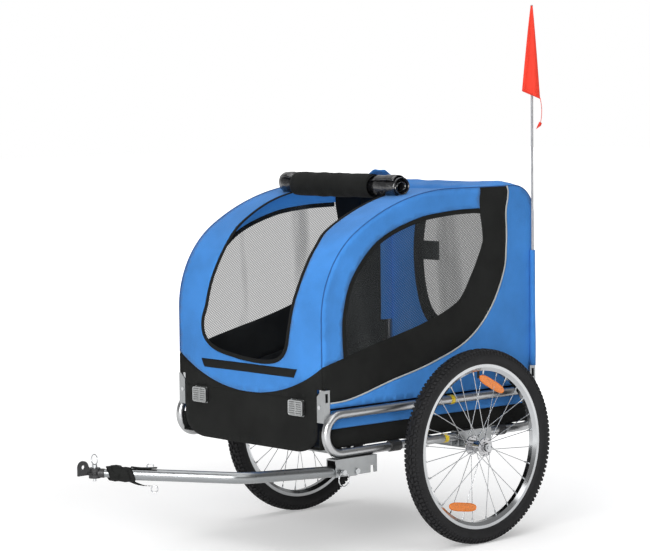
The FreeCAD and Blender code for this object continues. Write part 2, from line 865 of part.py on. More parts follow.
def axle_saddle():
    """Folded plate over the lower tube whose legs hold the axle tube; holes along its legs."""
    inside = d.loop_tube_radius + d.weld_gap
    outside = inside + d.saddle_wall
    top = d.loop_low_z + inside
    body = padded_body("saddle_body", "XZ_Plane", [
        (loop_x - outside, d.saddle_leg_z),
        (loop_x - outside, top + d.saddle_wall),
        (loop_x + outside, top + d.saddle_wall),
        (loop_x + outside, d.saddle_leg_z),
        (loop_x + inside, d.saddle_leg_z),
        (loop_x + inside, top),
        (loop_x - inside, top),
        (loop_x - inside, d.saddle_leg_z),
    ], d.saddle_length)
    centre_y = axle_y + d.saddle_rear_reach - d.saddle_length / 2
    place(body, ZERO, centre_y, ZERO)
    tools = [cylinder("saddle_axle_seat", d.axle_tube_radius + d.weld_gap, outside * 3, "x",
                      loop_x - outside * 1.5, axle_y, axle_z)]
    for i in (1, 2, 3):
        tools.append(cylinder(
            f"saddle_hole_{i}", d.saddle_hole_radius, outside * 3, "x",
            loop_x - outside * 1.5, axle_y + d.saddle_hole_pitch * i, d.loop_low_z - d.saddle_hole_radius))
    tube_room = cylinder("saddle_tube_room", inside, d.saddle_length, "y", loop_x,
                         centre_y - d.saddle_length / 2, d.loop_low_z)
    return cut("saddle", body, fuse("saddle_tools", tools + [tube_room]))


def frame_tubes():
    loop = tube_along(loop_path(loop_x), d.loop_tube_radius, d.loop_tube_wall)
    both_sides("frame_loop", feature("loop_tube", loop))
    joint_start = axle_y - d.loop_joint_reach - d.sleeve_length / 2
    sleeve = ring_on_loop("joint_sleeve", d.sleeve_length, d.sleeve_wall, joint_start, d.loop_low_z)
    clamp_start = axle_y + d.clamp_rear_reach - d.clamp_length / 2
    clamp = ring_on_loop("rear_clamp", d.clamp_length, d.sleeve_wall, clamp_start, d.loop_low_z)
    left = group("sleeves_left", [sleeve, clamp])
    part("tube_sleeves", group("sleeve_set", [left, mirrored("sleeves_right", left)]))
    high_start = axle_y - d.marker_high_reach - d.marker_length / 2
    high_band = ring_on_loop("high_band", d.marker_length, d.marker_wall, high_start, d.loop_high_z)
    low_start = axle_y - d.marker_low_reach - d.marker_length / 2
    low_band = ring_on_loop("low_band", d.marker_length, d.marker_wall, low_start, d.loop_low_z)
    bands = group("bands_left", [high_band, low_band])
    part("marker_bands", group("band_set", [bands, mirrored("bands_right", bands)]))
    bar_half = loop_x - d.loop_tube_radius - d.weld_gap
    front_y = loop_front_y + d.cross_tube_inset
    rear_y = loop_rear_y - d.cross_tube_inset
    part("front_cross_tube", hollow_bar(
        "front_bar", d.cross_tube_radius, d.cross_tube_wall, bar_half, front_y, d.loop_low_z))
    part("rear_cross_tube", hollow_bar(
        "rear_bar", d.cross_tube_radius, d.cross_tube_wall, bar_half, rear_y, d.loop_low_z))
    axle_wall = d.axle_tube_radius - d.axle_radius
    tube_half = wheel_x - hub_end - d.end_gap * 2 - d.axle_collar_length
    part("axle_tube", hollow_bar("axle_bar", d.axle_tube_radius, axle_wall, tube_half, axle_y, axle_z))
    both_sides("axle_bracket", axle_saddle())


# Side hoops, their hinge brackets and rivets
def hoop():
    """Bent tube over the cabin's side with a round knuckle at each foot, bored for its rivet."""
    path = cabin_profile(hoop_inset, d.hinge_z + d.hoop_knuckle_wall)
    for edge in path:
        edge.translate(vec(hoop_x, ZERO, ZERO))
    solid = rod_along(path, d.hoop_tube_radius)
    bore = rod_along(path, d.hoop_tube_radius - d.hoop_tube_wall)
    radius = float(d.hoop_tube_radius + d.hoop_knuckle_wall)
    half_length = d.hoop_tube_radius + d.bracket_side_gap / 3
    length = float(half_length * 2)
    knuckles = []
    holes = []
    for foot_y in (hoop_front_y, hoop_rear_y):
        knuckle_start = vec(hoop_x, foot_y - half_length, d.hinge_z)
        knuckles.append(Part.makeCylinder(radius, length, knuckle_start, Vector(0, 1, 0)))
        holes.append(Part.makeCylinder(
            float(d.rivet_radius + d.running_gap), length, knuckle_start, Vector(0, 1, 0)))
    room = bore.cut(Part.makeCompound(knuckles))
    return feature("hoop_tube", solid.fuse(knuckles).cut(room).cut(Part.makeCompound(holes)))


def bracket_y(foot_y):
    """Front face and back face of the channel round a hoop foot."""
    half = d.hoop_tube_radius + d.bracket_side_gap + d.bracket_wall
    return foot_y - half, foot_y + half


def hinge_bracket(name, foot_y):
    """Upright channel, open towards the cabin, seated on the loop's bend, with a pointed top."""
    start, end = bracket_y(foot_y)
    inner_x = hoop_x - d.bracket_inset
    web_x = hoop_x + d.hoop_tube_radius + d.bracket_web_gap
    height = d.bracket_high_z - d.bracket_low_z
    block = box(f"{name}_block", web_x + d.bracket_wall - inner_x, end - start, height,
                inner_x, start, d.bracket_low_z)
    room = box(f"{name}_room", web_x - inner_x, end - start - d.bracket_wall * 2, height,
               inner_x, start + d.bracket_wall, d.bracket_low_z)
    rivet_hole = cylinder(f"{name}_hole", d.rivet_radius + d.running_gap, end - start, "y", hoop_x, start, d.hinge_z)
    slot = box(f"{name}_slot", d.bracket_wall * 3, d.bracket_slot_width, d.bracket_slot_height,
               web_x - d.bracket_wall, foot_y - d.bracket_slot_width / 2, d.bracket_slot_z)
    taper = float(d.bracket_taper)
    high = float(d.bracket_high_z)
    corner = [vec(inner_x, ZERO, d.bracket_high_z), vec(inner_x, ZERO, d.bracket_high_z - d.bracket_taper),
              Vector(float(inner_x) + taper, 0, high)]
    wedge = Part.Face(Part.makePolygon(corner + [corner[0]])).extrude(vec(ZERO, end - start, ZERO))
    wedge.translate(vec(ZERO, start, ZERO))
    tube_room = rod_along(loop_path(loop_x), d.loop_tube_radius + d.weld_gap)
    shaping = feature(f"{name}_shaping", Part.makeCompound([wedge, tube_room]))
    hollow = cut(f"{name}_hollow", block, fuse(f"{name}_tools", [room, rivet_hole, slot]))
    return cut(name, hollow, shaping)


def rivet(name, foot_y):
    start, end = bracket_y(foot_y)
    shank = cylinder(f"{name}_shank", d.rivet_radius, end - start, "y", hoop_x, start, d.hinge_z)
    front_head = cylinder(f"{name}_front", d.rivet_head_radius, d.rivet_head_length, "y",
                          hoop_x, start - d.rivet_head_length, d.hinge_z)
    back_head = cylinder(f"{name}_back", d.rivet_head_radius, d.rivet_head_length, "y", hoop_x, end, d.hinge_z)
    return fuse(name, [shank, front_head, back_head])


def hinges():
    both_sides("side_hoop", hoop())
    feet = (("front", hoop_front_y), ("rear", hoop_rear_y))
    brackets = group("brackets_left", [hinge_bracket(f"bracket_{name}", y) for name, y in feet])
    part("hinge_brackets", group("bracket_set", [brackets, mirrored("brackets_right", brackets)]))
    rivets = group("rivets_left", [rivet(f"rivet_{name}", y) for name, y in feet])
    part("hinge_rivets", group("rivet_set", [rivets, mirrored("rivets_right", rivets)]))


# Fabric cabin
def window_outline(x, margin):
    """Side window: follows the brow at its top front corner and the swept band below."""
    front = axle_y - d.side_window_front_reach + margin
    rear = axle_y + d.side_window_rear - margin
    high = d.side_window_high_z - margin
    brow_y = axle_y - d.side_window_brow_reach
    points = [
        vec(x, front, d.side_window_low_front_z + margin),
        vec(x, front, d.side_window_brow_z),
        vec(x, brow_y, high),
        vec(x, rear, high),
        vec(x, rear, d.side_window_bend_z),
        vec(x, axle_y, d.side_window_low_rear_z + margin),
    ]
    small = float(d.side_window_small_radius)
    big = float(d.side_window_big_radius)
    return points, [small, big, big, small, small * 2, small * 2]


def side_panel():
    """Flat fabric side with its window cut out and notches round the hinge brackets."""
    path = cabin_profile(d.fabric_wall + d.fabric_gap, d.panel_low_z)
    foot = Part.LineSegment(path[-1].lastVertex().Point, path[0].firstVertex().Point).toShape()
    face = Part.Face(Part.Wire(path + [foot]))
    inner_x = cabin_half_width - d.fabric_wall
    face.translate(vec(inner_x, ZERO, ZERO))
    panel = face.extrude(vec(d.fabric_wall, ZERO, ZERO))
    points, radii = window_outline(inner_x - d.cut_overrun, ZERO)
    window = rounded_slab(points, radii, vec(d.fabric_wall + d.cut_overrun * 2, ZERO, ZERO))
    notches = []
    for foot_y in (hoop_front_y, hoop_rear_y):
        start, end = bracket_y(foot_y)
        depth = float(end - start + d.fabric_gap * 2 + d.rivet_head_length * 2)
        notch = Part.makeBox(float(d.cut_overrun * 4), depth, float(d.bracket_high_z - d.panel_low_z + d.fabric_gap))
        notch.translate(vec(inner_x - d.cut_overrun * 2, foot_y - depth / 2, d.panel_low_z))
        notches.append(notch)
    return feature("side_cloth", panel.cut(Part.makeCompound([window] + notches)))


def window_mesh():
    inner_x = cabin_half_width - d.fabric_wall / 2 - d.mesh_wall / 2
    points, radii = window_outline(inner_x, d.fabric_gap)
    return feature("window_net", rounded_slab(points, radii, vec(d.mesh_wall, ZERO, ZERO)))


def bracket_notches():
    """Room round the four hinge brackets at the lower corners of the front and rear cloth."""
    inner_x = hoop_x - d.bracket_inset - d.fabric_gap
    width = cabin_half_width + d.cut_overrun - inner_x
    height = d.bracket_high_z + d.fabric_gap - d.cover_low_z + d.cut_overrun
    start, end = bracket_y(hoop_front_y)
    depth = end - start + d.cut_overrun * 2
    blocks = []
    for x in (inner_x, -inner_x - width):
        for foot_y in (hoop_front_y, hoop_rear_y):
            block = Part.makeBox(float(width), float(depth), float(height))
            block.translate(vec(x, foot_y - depth / 2, d.cover_low_z - d.cut_overrun))
            blocks.append(block)
    return blocks


def front_cover():
    """One sheet from the front foot over the brow to the flat roof, with the door opening."""
    ring = profile_ring(ZERO, d.fabric_wall, 0, 4, d.cover_low_z)
    cloth = sheet_along_x(ring, cabin_half_width)
    start = cabin_front_y - d.cut_overrun
    half = door_half_width
    high = d.roof_z + d.cut_overrun
    points = [vec(-half, start, high), vec(half, start, high), vec(half, start, d.door_low_z),
              vec(-half, start, d.door_low_z)]
    corner = float(d.door_corner_radius)
    push = vec(ZERO, d.cabin_front_reach - d.door_top_reach + d.cut_overrun, ZERO)
    door = rounded_slab(points, [0, 0, corner, corner], push)
    return feature("front_cloth", cloth.cut(Part.makeCompound([door] + bracket_notches())))


def rear_window_points(y, margin):
    half = rear_window_half_width - margin
    low = d.rear_window_low_z + margin
    high = d.rear_window_high_z - margin
    return [vec(-half, y, low), vec(half, y, low), vec(half, y, high), vec(-half, y, high)]


def rear_cover():
    """Rear corner and rear wall with a window."""
    ring = profile_ring(ZERO, d.fabric_wall, 4, 6, d.cover_low_z)
    cloth = sheet_along_x(ring, cabin_half_width)
    points = rear_window_points(cabin_rear_y - d.cut_overrun, ZERO)
    radius = float(d.rear_window_radius)
    window = rounded_slab(points, [radius] * 4, vec(ZERO, d.cut_overrun * 2, ZERO))
    return feature("rear_cloth", cloth.cut(Part.makeCompound([window] + bracket_notches())))


def rear_mesh():
    points = rear_window_points(cabin_rear_y - d.fabric_wall / 2 - d.mesh_wall / 2, d.fabric_gap)
    radius = float(d.rear_window_radius)
    return feature("rear_net", rounded_slab(points, [radius] * 4, vec(ZERO, d.mesh_wall, ZERO)))


def roof_arc_centre():
    """Height and place of the roof arc's centre, from the brow up."""
    sweep = math.radians(float(d.brow_end_angle))
    start_y = cabin_front_y + d.brow_radius * (1 - math.sin(sweep)) + d.roof_radius * math.sin(sweep)
    return start_y, d.roof_z - d.roof_radius


def door_roll():
    """Rolled-up door on the roof behind its opening: one sheet in a spiral of half turns."""
    step = d.roll_pitch / 2
    under = d.roll_core_radius + step * (ROLL_HALF_TURNS - 2)
    arc_y, arc_z = roof_arc_centre()
    reach = d.roof_radius + d.fabric_gap + under
    centre_y = arc_y - reach * sine(d.roll_lean_angle)
    centre_z = arc_z + reach * cosine(d.roll_lean_angle)
    outside = []
    inside = []
    for turn in range(ROLL_HALF_TURNS):
        radius = float(d.roll_core_radius + step * turn)
        upward = 1 if turn % 2 else -1
        shift = float(step) / 2 * upward
        for edges, reach in ((outside, radius), (inside, radius - float(d.roll_wall))):
            edges.append(Part.Arc(
                Vector(0, shift - upward * reach, 0),
                Vector(0, shift, upward * reach),
                Vector(0, shift + upward * reach, 0)).toShape())
    ends = []
    for pick in (0, -1):
        first = outside[pick].Vertexes[pick].Point
        second = inside[pick].Vertexes[pick].Point
        ends.append(Part.LineSegment(first, second).toShape())
    sheet_face = Part.Face(Part.Wire(Part.__sortEdges__(outside + inside + ends)))
    sheet_face.translate(vec(-roll_half_length, centre_y, centre_z))
    return feature("roll_sheet", sheet_face.extrude(vec(roll_half_length * 2, ZERO, ZERO)))


def tub():
    """Lower fabric tub on the cross tubes, open at the top, with its corners cut out for the brackets."""
    wall = d.fabric_wall
    half = tub_half_width
    front = cabin_front_y - d.tub_front_gap
    floor_z = d.loop_low_z + d.cross_tube_radius + d.fabric_gap
    length = cabin_rear_y - front
    shell = box("tub_block", half * 2, length, d.cover_low_z - d.fabric_gap - floor_z, -half, front, floor_z)
    room = box("tub_room", (half - wall) * 2, length - wall * 2, d.cover_low_z - floor_z,
               -half + wall, front + wall, floor_z + wall)
    apron = box("tub_apron", half * 2, wall, floor_z - d.tub_low_z, -half, front, d.tub_low_z)
    tools = [room]
    for name, x in (("left", half - wall * 2), ("right", -half - wall)):
        tools.append(box(f"tub_side_{name}", wall * 3, length - wall * 2, d.cover_low_z,
                         x, front + wall, d.tub_side_z))
        for foot, foot_y in (("front", hoop_front_y), ("rear", hoop_rear_y)):
            start, end = bracket_y(foot_y)
            margin = d.rivet_head_length + d.fabric_gap
            corner_x = half - d.bracket_inset * 2 if name == "left" else -half - wall
            tools.append(box(f"tub_corner_{foot}_{name}", d.bracket_inset * 2 + wall, end - start + margin * 2,
                             d.cover_low_z, corner_x, start - margin, d.bracket_low_z - d.fabric_gap))
    return cut("tub_shell", fuse("tub_solid", [shell, apron]), fuse("tub_tools", tools))


def floor_board():
    floor_z = d.loop_low_z + d.cross_tube_radius + d.fabric_gap + d.fabric_wall
    half = tub_half_width - d.board_margin
    front = cabin_front_y + d.board_margin
    length = cabin_rear_y - d.board_margin - front
    return box("board", half * 2, length, d.board_wall, -half, front, floor_z)


def front_reflectors():
    start_x = front_reflector_x - d.front_reflector_length / 2
    start_y = cabin_front_y - d.tub_front_gap - d.front_reflector_depth
    start_z = d.front_reflector_z - d.front_reflector_height / 2
    plate = box("front_plate", d.front_reflector_length, d.front_reflector_depth, d.front_reflector_height,
                start_x, start_y, start_z)
    rounded = doc.addObject("Part::Fillet", "front_plate_rounded")
    rounded.Base = plate
    doc.recompute()
    radius = float(d.front_reflector_depth / 4)
    front_edges = []
    for number, edge in enumerate(plate.Shape.Edges, start=1):
        if abs(edge.CenterOfMass.y - float(start_y)) < radius:
            front_edges.append((number, radius, radius))
    rounded.Edges = front_edges
    return group("front_plates", [rounded, mirrored("front_plate_right", rounded)])


def cabin():
    part("tub", tub())
    part("floor_board", floor_board())
    part("front_reflectors", front_reflectors())
    both_sides("side_panel", side_panel())
    both_sides("window_mesh", window_mesh())
    part("front_cover", front_cover())
    part("rear_cover", rear_cover())
    part("rear_mesh", rear_mesh())
    part("door_roll", door_roll())


# Tow channel, tow arm and hitch
def tow_line(angle_in, angle_up):
    """Heading of a run of the arm: forward, turned inward and upward."""
    turn = math.radians(float(angle_in))
    lift = math.radians(float(angle_up))
    return Vector(-math.sin(turn) * math.cos(lift), -math.cos(turn) * math.cos(lift), math.sin(lift))


PIVOT = vec(loop_x, tow_y, d.tow_pivot_z)
FIRST = tow_line(ZERO, d.arm_rise_angle)
SECOND = tow_line(d.arm_inward_angle, d.arm_second_rise_angle)
BEND = PIVOT + FIRST * float(d.arm_first_run)
ARM_END = BEND + SECOND * float(d.arm_second_run)
ROD_END = ARM_END + SECOND * float(d.rod_length)
HITCH = ROD_END + SECOND * float(d.knuckle_neck_length)
CROSSWAYS = Vector(1, 0, 0)
UPWARD = Vector(0, 0, 1)


def channel_half():
    return d.arm_tube_radius + d.channel_gap + d.channel_wall


def tow_channel():
    """Inverted channel under the left lower tube, with open notches for the lock pin at both ends."""
    half = channel_half()
    start = tow_y - d.channel_front_part
    top = d.loop_low_z - d.loop_tube_radius - d.weld_gap
    height = top - d.channel_low_z
    block = box("channel_block", half * 2, d.channel_length, height, loop_x - half, start, d.channel_low_z)
    room = box("channel_room", (half - d.channel_wall) * 2, d.channel_length, height - d.channel_wall,
               loop_x - half + d.channel_wall, start, d.channel_low_z)
    tools = [room, cylinder("channel_pivot_hole", d.pivot_bolt_radius + d.running_gap, half * 2, "x",
                            loop_x - half, tow_y, d.tow_pivot_z)]
    slot_half = d.lock_pin_radius + d.lock_notch_gap
    slot_top = d.tow_pivot_z + d.lock_pin_reach * sine(d.arm_rise_angle) + slot_half
    for name, reach in (("front", -d.lock_pin_reach), ("rear", d.lock_pin_reach)):
        tools.append(box(f"channel_{name}_notch", half * 2, slot_half * 2, slot_top - d.channel_low_z,
                         loop_x - half, tow_y + reach - slot_half, d.channel_low_z))
    return cut("channel", block, fuse("channel_tools", tools))


def pivot_bolt():
    half = channel_half()
    shank = cylinder("pivot_shank", d.pivot_bolt_radius, half * 2, "x", loop_x - half, tow_y, d.tow_pivot_z)
    head = cylinder("pivot_head", d.bolt_head_radius, d.bolt_head_length, "x", loop_x + half, tow_y, d.tow_pivot_z)
    nut = cylinder("pivot_nut", d.bolt_head_radius, d.bolt_head_length, "x",
                   loop_x - half - d.bolt_head_length, tow_y, d.tow_pivot_z)
    return fuse("pivot", [shank, head, nut])


def arm_tube():
    """Bent tube from behind its pivot to the end rod, drilled for the bolt and the lock pin."""
    tail = PIVOT - FIRST * float(d.arm_tail)
    edges = rounded_edges([tail, BEND, ARM_END], [0, float(d.arm_bend_radius), 0], False)
    tube = tube_along(edges, d.arm_tube_radius, d.arm_tube_wall)
    width = float(d.arm_tube_radius * 2 + d.cut_overrun)
    drills = []
    for centre, radius in ((PIVOT, d.pivot_bolt_radius), (PIVOT + FIRST * float(d.lock_pin_reach), d.lock_pin_radius)):
        drills.append(Part.makeCylinder(
            float(radius + d.running_gap), width, centre - CROSSWAYS * (width / 2), CROSSWAYS))
    return feature("arm_tube_bent", tube.cut(Part.makeCompound(drills)))


def end_rod():
    """Solid rod plugged into the arm, with a thinner spigot that the knuckle turns on."""
    length = float(d.rod_insert + d.rod_length)
    rod = Part.makeCylinder(float(d.rod_radius), length, ARM_END - SECOND * float(d.rod_insert), SECOND)
    sleeve_radius = float(d.arm_tube_radius - d.arm_tube_wall - d.rod_gap)
    sleeve = Part.makeCylinder(sleeve_radius, float(d.rod_insert), ARM_END - SECOND * float(d.rod_insert), SECOND)
    spigot = Part.makeCylinder(float(d.spigot_radius), float(d.spigot_length), ROD_END, SECOND)
    return feature("arm_rod", rod.fuse([sleeve, spigot]).removeSplitter())


def safety_strap():
    """Webbing wound on the arm near its end, with a short hanging tail."""
    inner = float(d.arm_tube_radius + d.fabric_gap)
    start = ARM_END - SECOND * float(d.strap_back + d.strap_length)
    wound = Part.makeCylinder(inner + float(d.strap_wall), float(d.strap_length), start, SECOND)
    tail_centre = start + SECOND * float(d.strap_length / 3)
    tail = Part.makeBox(float(d.strap_tail_width), float(d.strap_wall), float(d.strap_tail_length))
    tail.translate(Vector(-float(d.strap_tail_width / 2), -float(d.strap_wall / 2), 0))
    tail.Placement = Placement(
        tail_centre - UPWARD * float(d.strap_tail_length),
        Rotation(UPWARD, 90 - float(d.arm_inward_angle))).multiply(tail.Placement)
    bore = Part.makeCylinder(inner, float(d.strap_length * 2), start - SECOND * float(d.strap_length / 2), SECOND)
    return feature("strap", wound.fuse(tail).cut(bore).removeSplitter())


def strap_ring():
    """Steel ring sewn into the end of the strap's tail."""
    start = ARM_END - SECOND * float(d.strap_back + d.strap_length)
    tail_foot = start + SECOND * float(d.strap_length / 3) - UPWARD * float(d.strap_tail_length)
    drop = float(d.strap_ring_radius + d.ring_wire_radius + d.fabric_gap)
    across = SECOND.cross(UPWARD)
    ring = Part.makeTorus(float(d.strap_ring_radius), float(d.ring_wire_radius),
                          tail_foot - UPWARD * drop, across)
    return feature("tail_ring", ring)


def lock_pin():
    """Cross pin through the arm that bears up in the channel's notches; a ring hangs in its head."""
    centre = PIVOT + FIRST * float(d.lock_pin_reach)
    half = float(channel_half())
    stub = float(d.lock_pin_stub)
    shank = Part.makeCylinder(float(d.lock_pin_radius), half * 2 + stub * 2, centre - CROSSWAYS * (half + stub), CROSSWAYS)
    head_start = centre + CROSSWAYS * (half + stub)
    head = Part.makeCylinder(float(d.lock_head_radius), float(d.lock_head_length), head_start, CROSSWAYS)
    eye_centre = head_start + CROSSWAYS * float(d.lock_head_length / 2)
    eye = Part.makeCylinder(float(d.ring_wire_radius + d.rod_gap), float(d.lock_head_radius * 2),
                            eye_centre - FIRST * float(d.lock_head_radius), FIRST)
    drop = float(d.lock_ring_radius)
    ring = Part.makeTorus(drop, float(d.ring_wire_radius), eye_centre - UPWARD * drop, CROSSWAYS)
    pin = shank.fuse(head).cut(eye).removeSplitter()
    return feature("lock_shank", Part.makeCompound([pin.Solids[0], ring]))


def knuckle():
    """Neck that turns on the rod's spigot and a forked puck that takes the hitch tongue."""
    gap = float(d.end_gap)
    neck_start = ROD_END + SECOND * gap
    neck = Part.makeCylinder(float(d.knuckle_neck_radius), float(d.knuckle_neck_length) - gap, neck_start, SECOND)
    puck_height = float(d.knuckle_puck_height)
    puck = Part.makeCylinder(float(d.knuckle_puck_radius), puck_height, HITCH - UPWARD * (puck_height / 2), UPWARD)
    slot_height = float(d.tongue_wall + d.tongue_gap * 2)
    low = HITCH - UPWARD * (slot_height / 2)
    turning = Part.makeCylinder(float(d.tongue_radius + d.tongue_gap), slot_height, low, UPWARD)
    reach = float(d.knuckle_puck_radius * 2)
    mouth = Part.makeBox(reach * 2, reach + float(d.fork_mouth_back), slot_height)
    mouth.translate(Vector(-reach, -reach, 0))
    mouth.Placement = Placement(low, Rotation(UPWARD, -float(d.arm_inward_angle))).multiply(mouth.Placement)
    pin_hole = Part.makeCylinder(float(d.hitch_pin_radius + d.running_gap), puck_height,
                                 HITCH - UPWARD * (puck_height / 2), UPWARD)
    bore = Part.makeCylinder(float(d.spigot_radius + d.running_gap), float(d.spigot_length + d.end_gap), ROD_END, SECOND)
    solid = neck.fuse(puck).cut(Part.makeCompound([turning, pin_hole]).fuse(mouth)).cut(bore)
    return feature("knuckle_fork", solid.removeSplitter())


def hitch_plate():
    """Flat tongue on the hitch pin and an upright plate with the eye for a bicycle axle."""
    wall = float(d.tongue_wall)
    low = HITCH - UPWARD * (wall / 2)
    disc = Part.makeCylinder(float(d.tongue_radius), wall, low, UPWARD)
    bar_width = float(d.tongue_radius)
    bar_length = float(d.hitch_web_start + d.hitch_plate_wall)
    bar = Part.makeBox(bar_width, bar_length, wall)
    bar.translate(low + Vector(-bar_width / 2, -bar_length, 0))
    eye = HITCH + Vector(0, -float(d.hitch_eye_reach), float(d.hitch_eye_rise))
    plate_x = Vector(-float(d.hitch_plate_wall / 2), 0, 0)
    disc_eye = Part.makeCylinder(float(d.hitch_eye_radius), float(d.hitch_plate_wall), eye + plate_x, CROSSWAYS)
    foot = HITCH + Vector(0, -float(d.hitch_web_start), -wall / 2)
    corners = [
        foot + plate_x,
        foot + plate_x + Vector(0, -float(d.hitch_eye_reach - d.hitch_web_start + d.hitch_eye_radius), 0),
        eye + plate_x + Vector(0, -float(d.hitch_eye_radius), 0),
        eye + plate_x + Vector(0, float(d.hitch_eye_reach - d.hitch_web_start), 0),
    ]
    web = Part.Face(Part.makePolygon(corners + [corners[0]])).extrude(CROSSWAYS * float(d.hitch_plate_wall))
    pin_hole = Part.makeCylinder(float(d.hitch_pin_radius + d.running_gap), wall, low, UPWARD)
    bore = Part.makeCylinder(float(d.hitch_eye_bore), float(d.hitch_plate_wall), eye + plate_x, CROSSWAYS)
    solid = disc.fuse([bar, web, disc_eye]).cut(Part.makeCompound([pin_hole, bore]))
    return feature("hitch_tongue", solid.removeSplitter())


def hitch_pin():
    """Headed pin that drops through the fork and the tongue; a wire ring keeps it from falling out."""
    height = float(d.knuckle_puck_height)
    low = HITCH - UPWARD * (height / 2 + float(d.lock_head_length))
    shank = Part.makeCylinder(float(d.hitch_pin_radius), height + float(d.lock_head_length), low, UPWARD)
    head = Part.makeCylinder(float(d.lock_head_radius), float(d.lock_head_length),
                             HITCH + UPWARD * (height / 2), UPWARD)
    ring = Part.makeTorus(float(d.hitch_ring_radius), float(d.ring_wire_radius),
                          HITCH + UPWARD * (height / 2 + float(d.lock_head_length)) , FIRST)
    ring.translate(UPWARD * float(d.hitch_ring_radius))
    return feature("hitch_pin_ring", shank.fuse([head, ring]).removeSplitter())


def tow_gear():
    part("tow_channel", tow_channel())
    part("tow_pivot_bolt", pivot_bolt())
    part("tow_arm_tube", arm_tube())
    part("tow_end_rod", end_rod())
    part("safety_strap", safety_strap())
    part("strap_ring", strap_ring())
    part("tow_lock_pin", lock_pin())
    part("hitch_knuckle", knuckle())
    part("hitch_plate", hitch_plate())
    part("hitch_pin", hitch_pin())


# Flag
def flag_pocket():
    """Sleeve on the rear left bracket, along the side cloth, that holds the flag pole upright."""
    height = d.flag_pocket_high_z - flag_pocket_low_z
    skin = cylinder("pocket_skin", d.flag_pocket_radius, height, "z", flag_x, axle_y + flag_reach, flag_pocket_low_z)
    bore = cylinder("pocket_bore", d.flag_pole_radius + d.flag_pocket_gap, height, "z",
                    flag_x, axle_y + flag_reach, flag_pocket_low_z + d.flag_pocket_floor)
    return cut("pocket", skin, bore)


def flag_pole():
    start = flag_pocket_low_z + d.flag_pocket_floor + d.fabric_gap
    return cylinder("pole", d.flag_pole_radius, d.flag_pole_top_z - start, "z", flag_x, axle_y + flag_reach, start)


def flag_cloth():
    """Limp pennant hanging round the front of its pole in folds, with a thin tail and its tip."""
    turn = math.radians(float(d.flag_turn_angle))
    across = Vector(math.cos(turn), math.sin(turn), 0)
    outward = Vector(math.sin(turn), -math.cos(turn), 0)
    pole_top = vec(flag_x, axle_y + flag_reach, d.flag_pole_top_z - d.flag_wall)
    wall = float(d.flag_wall)
    near = float(d.flag_pole_radius + d.fabric_gap)
    left_spread = float(d.flag_left_spread)
    spread = left_spread + float(d.flag_right_spread)
    fold_shares = (0.0, 0.9, 0.1, 1.0, 0.2, 0.0)
    place_shares = (0.0, 0.2, 0.42, 0.6, 0.82, 1.0)
    rows = []
    for drop_share, width, fold_depth in (
            (0.0, float(d.flag_head_width), 0.0),
            (0.45, spread * 0.55, float(d.flag_fold) * 0.6),
            (1.0, spread, float(d.flag_fold))):
        front = []
        back = []
        for place_share, fold_share in zip(place_shares, fold_shares):
            aside = width * (place_share - left_spread / spread)
            fall = float(d.flag_hoist) * drop_share + float(d.flag_slope) * drop_share * place_share
            corner = pole_top + across * aside - UPWARD * fall + outward * (near + fold_depth * fold_share)
            back.append(corner)
            front.append(corner + outward * wall)
        corners = front + back[::-1]
        rows.append(Part.makePolygon(corners + [corners[0]]))
    cloth = Part.makeLoft(rows, True, True)
    root = pole_top + across * float(d.flag_right_spread) + outward * near
    root = root - UPWARD * float(d.flag_hoist + d.flag_slope - d.flag_tail_width)
    width = float(d.flag_tail_width)
    foot = root - UPWARD * float(d.flag_tail_length)
    tip = foot - UPWARD * float(d.flag_tip_length) - across * float(d.flag_tip_width)
    outline = [root - across * width, root, foot + across * width, tip, foot - across * width]
    tail = Part.Face(Part.makePolygon(outline + [outline[0]])).extrude(outward * wall)
    return feature("pennant", cloth.fuse(tail).removeSplitter())


def flag():
    part("flag_pocket", flag_pocket())
    part("flag_pole", flag_pole())
    part("flag_cloth", flag_cloth())


def check_and_write():
    doc.recompute()
    for obj in doc.Objects:
        if "Invalid" in obj.State or "Error" in obj.State:
            raise RuntimeError(f"{obj.Name} failed: {obj.State}")
    for label, obj in PARTS.items():
        shape = obj.Shape
        if shape.isNull() or not shape.isValid() or not shape.Solids:
            raise RuntimeError(f"{label} has no valid solid")
    os.makedirs("parts", exist_ok=True)
    for label, obj in PARTS.items():
        obj.Shape.exportStep(os.path.join("parts", f"{label}.step"))
        print(label, len(obj.Shape.Solids), round(obj.Shape.Volume))


wheels()
frame_tubes()
hinges()
cabin()
tow_gear()
flag()
check_and_write()
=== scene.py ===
"""Looks of the dog bike trailer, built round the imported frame. Metres; front towards -Y, left towards +X."""
import math

import bpy
import numpy as np
from mathutils import Matrix, Vector, geometry, noise


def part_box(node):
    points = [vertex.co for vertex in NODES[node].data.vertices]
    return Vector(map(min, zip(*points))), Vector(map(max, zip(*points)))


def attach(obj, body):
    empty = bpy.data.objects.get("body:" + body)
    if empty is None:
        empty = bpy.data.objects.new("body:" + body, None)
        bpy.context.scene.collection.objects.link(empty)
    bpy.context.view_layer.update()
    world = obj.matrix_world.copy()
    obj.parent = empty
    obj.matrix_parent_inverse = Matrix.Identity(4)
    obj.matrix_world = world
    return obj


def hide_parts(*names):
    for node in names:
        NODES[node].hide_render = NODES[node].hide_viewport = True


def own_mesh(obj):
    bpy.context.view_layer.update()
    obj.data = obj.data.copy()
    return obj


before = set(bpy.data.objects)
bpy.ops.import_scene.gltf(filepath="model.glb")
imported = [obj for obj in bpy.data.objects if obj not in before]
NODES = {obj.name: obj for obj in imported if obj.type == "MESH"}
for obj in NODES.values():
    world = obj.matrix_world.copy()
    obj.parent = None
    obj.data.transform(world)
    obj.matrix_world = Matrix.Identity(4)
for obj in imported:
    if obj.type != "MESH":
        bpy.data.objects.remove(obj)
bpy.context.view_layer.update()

MM = 0.001
SIDES = (("left", 1), ("right", -1))


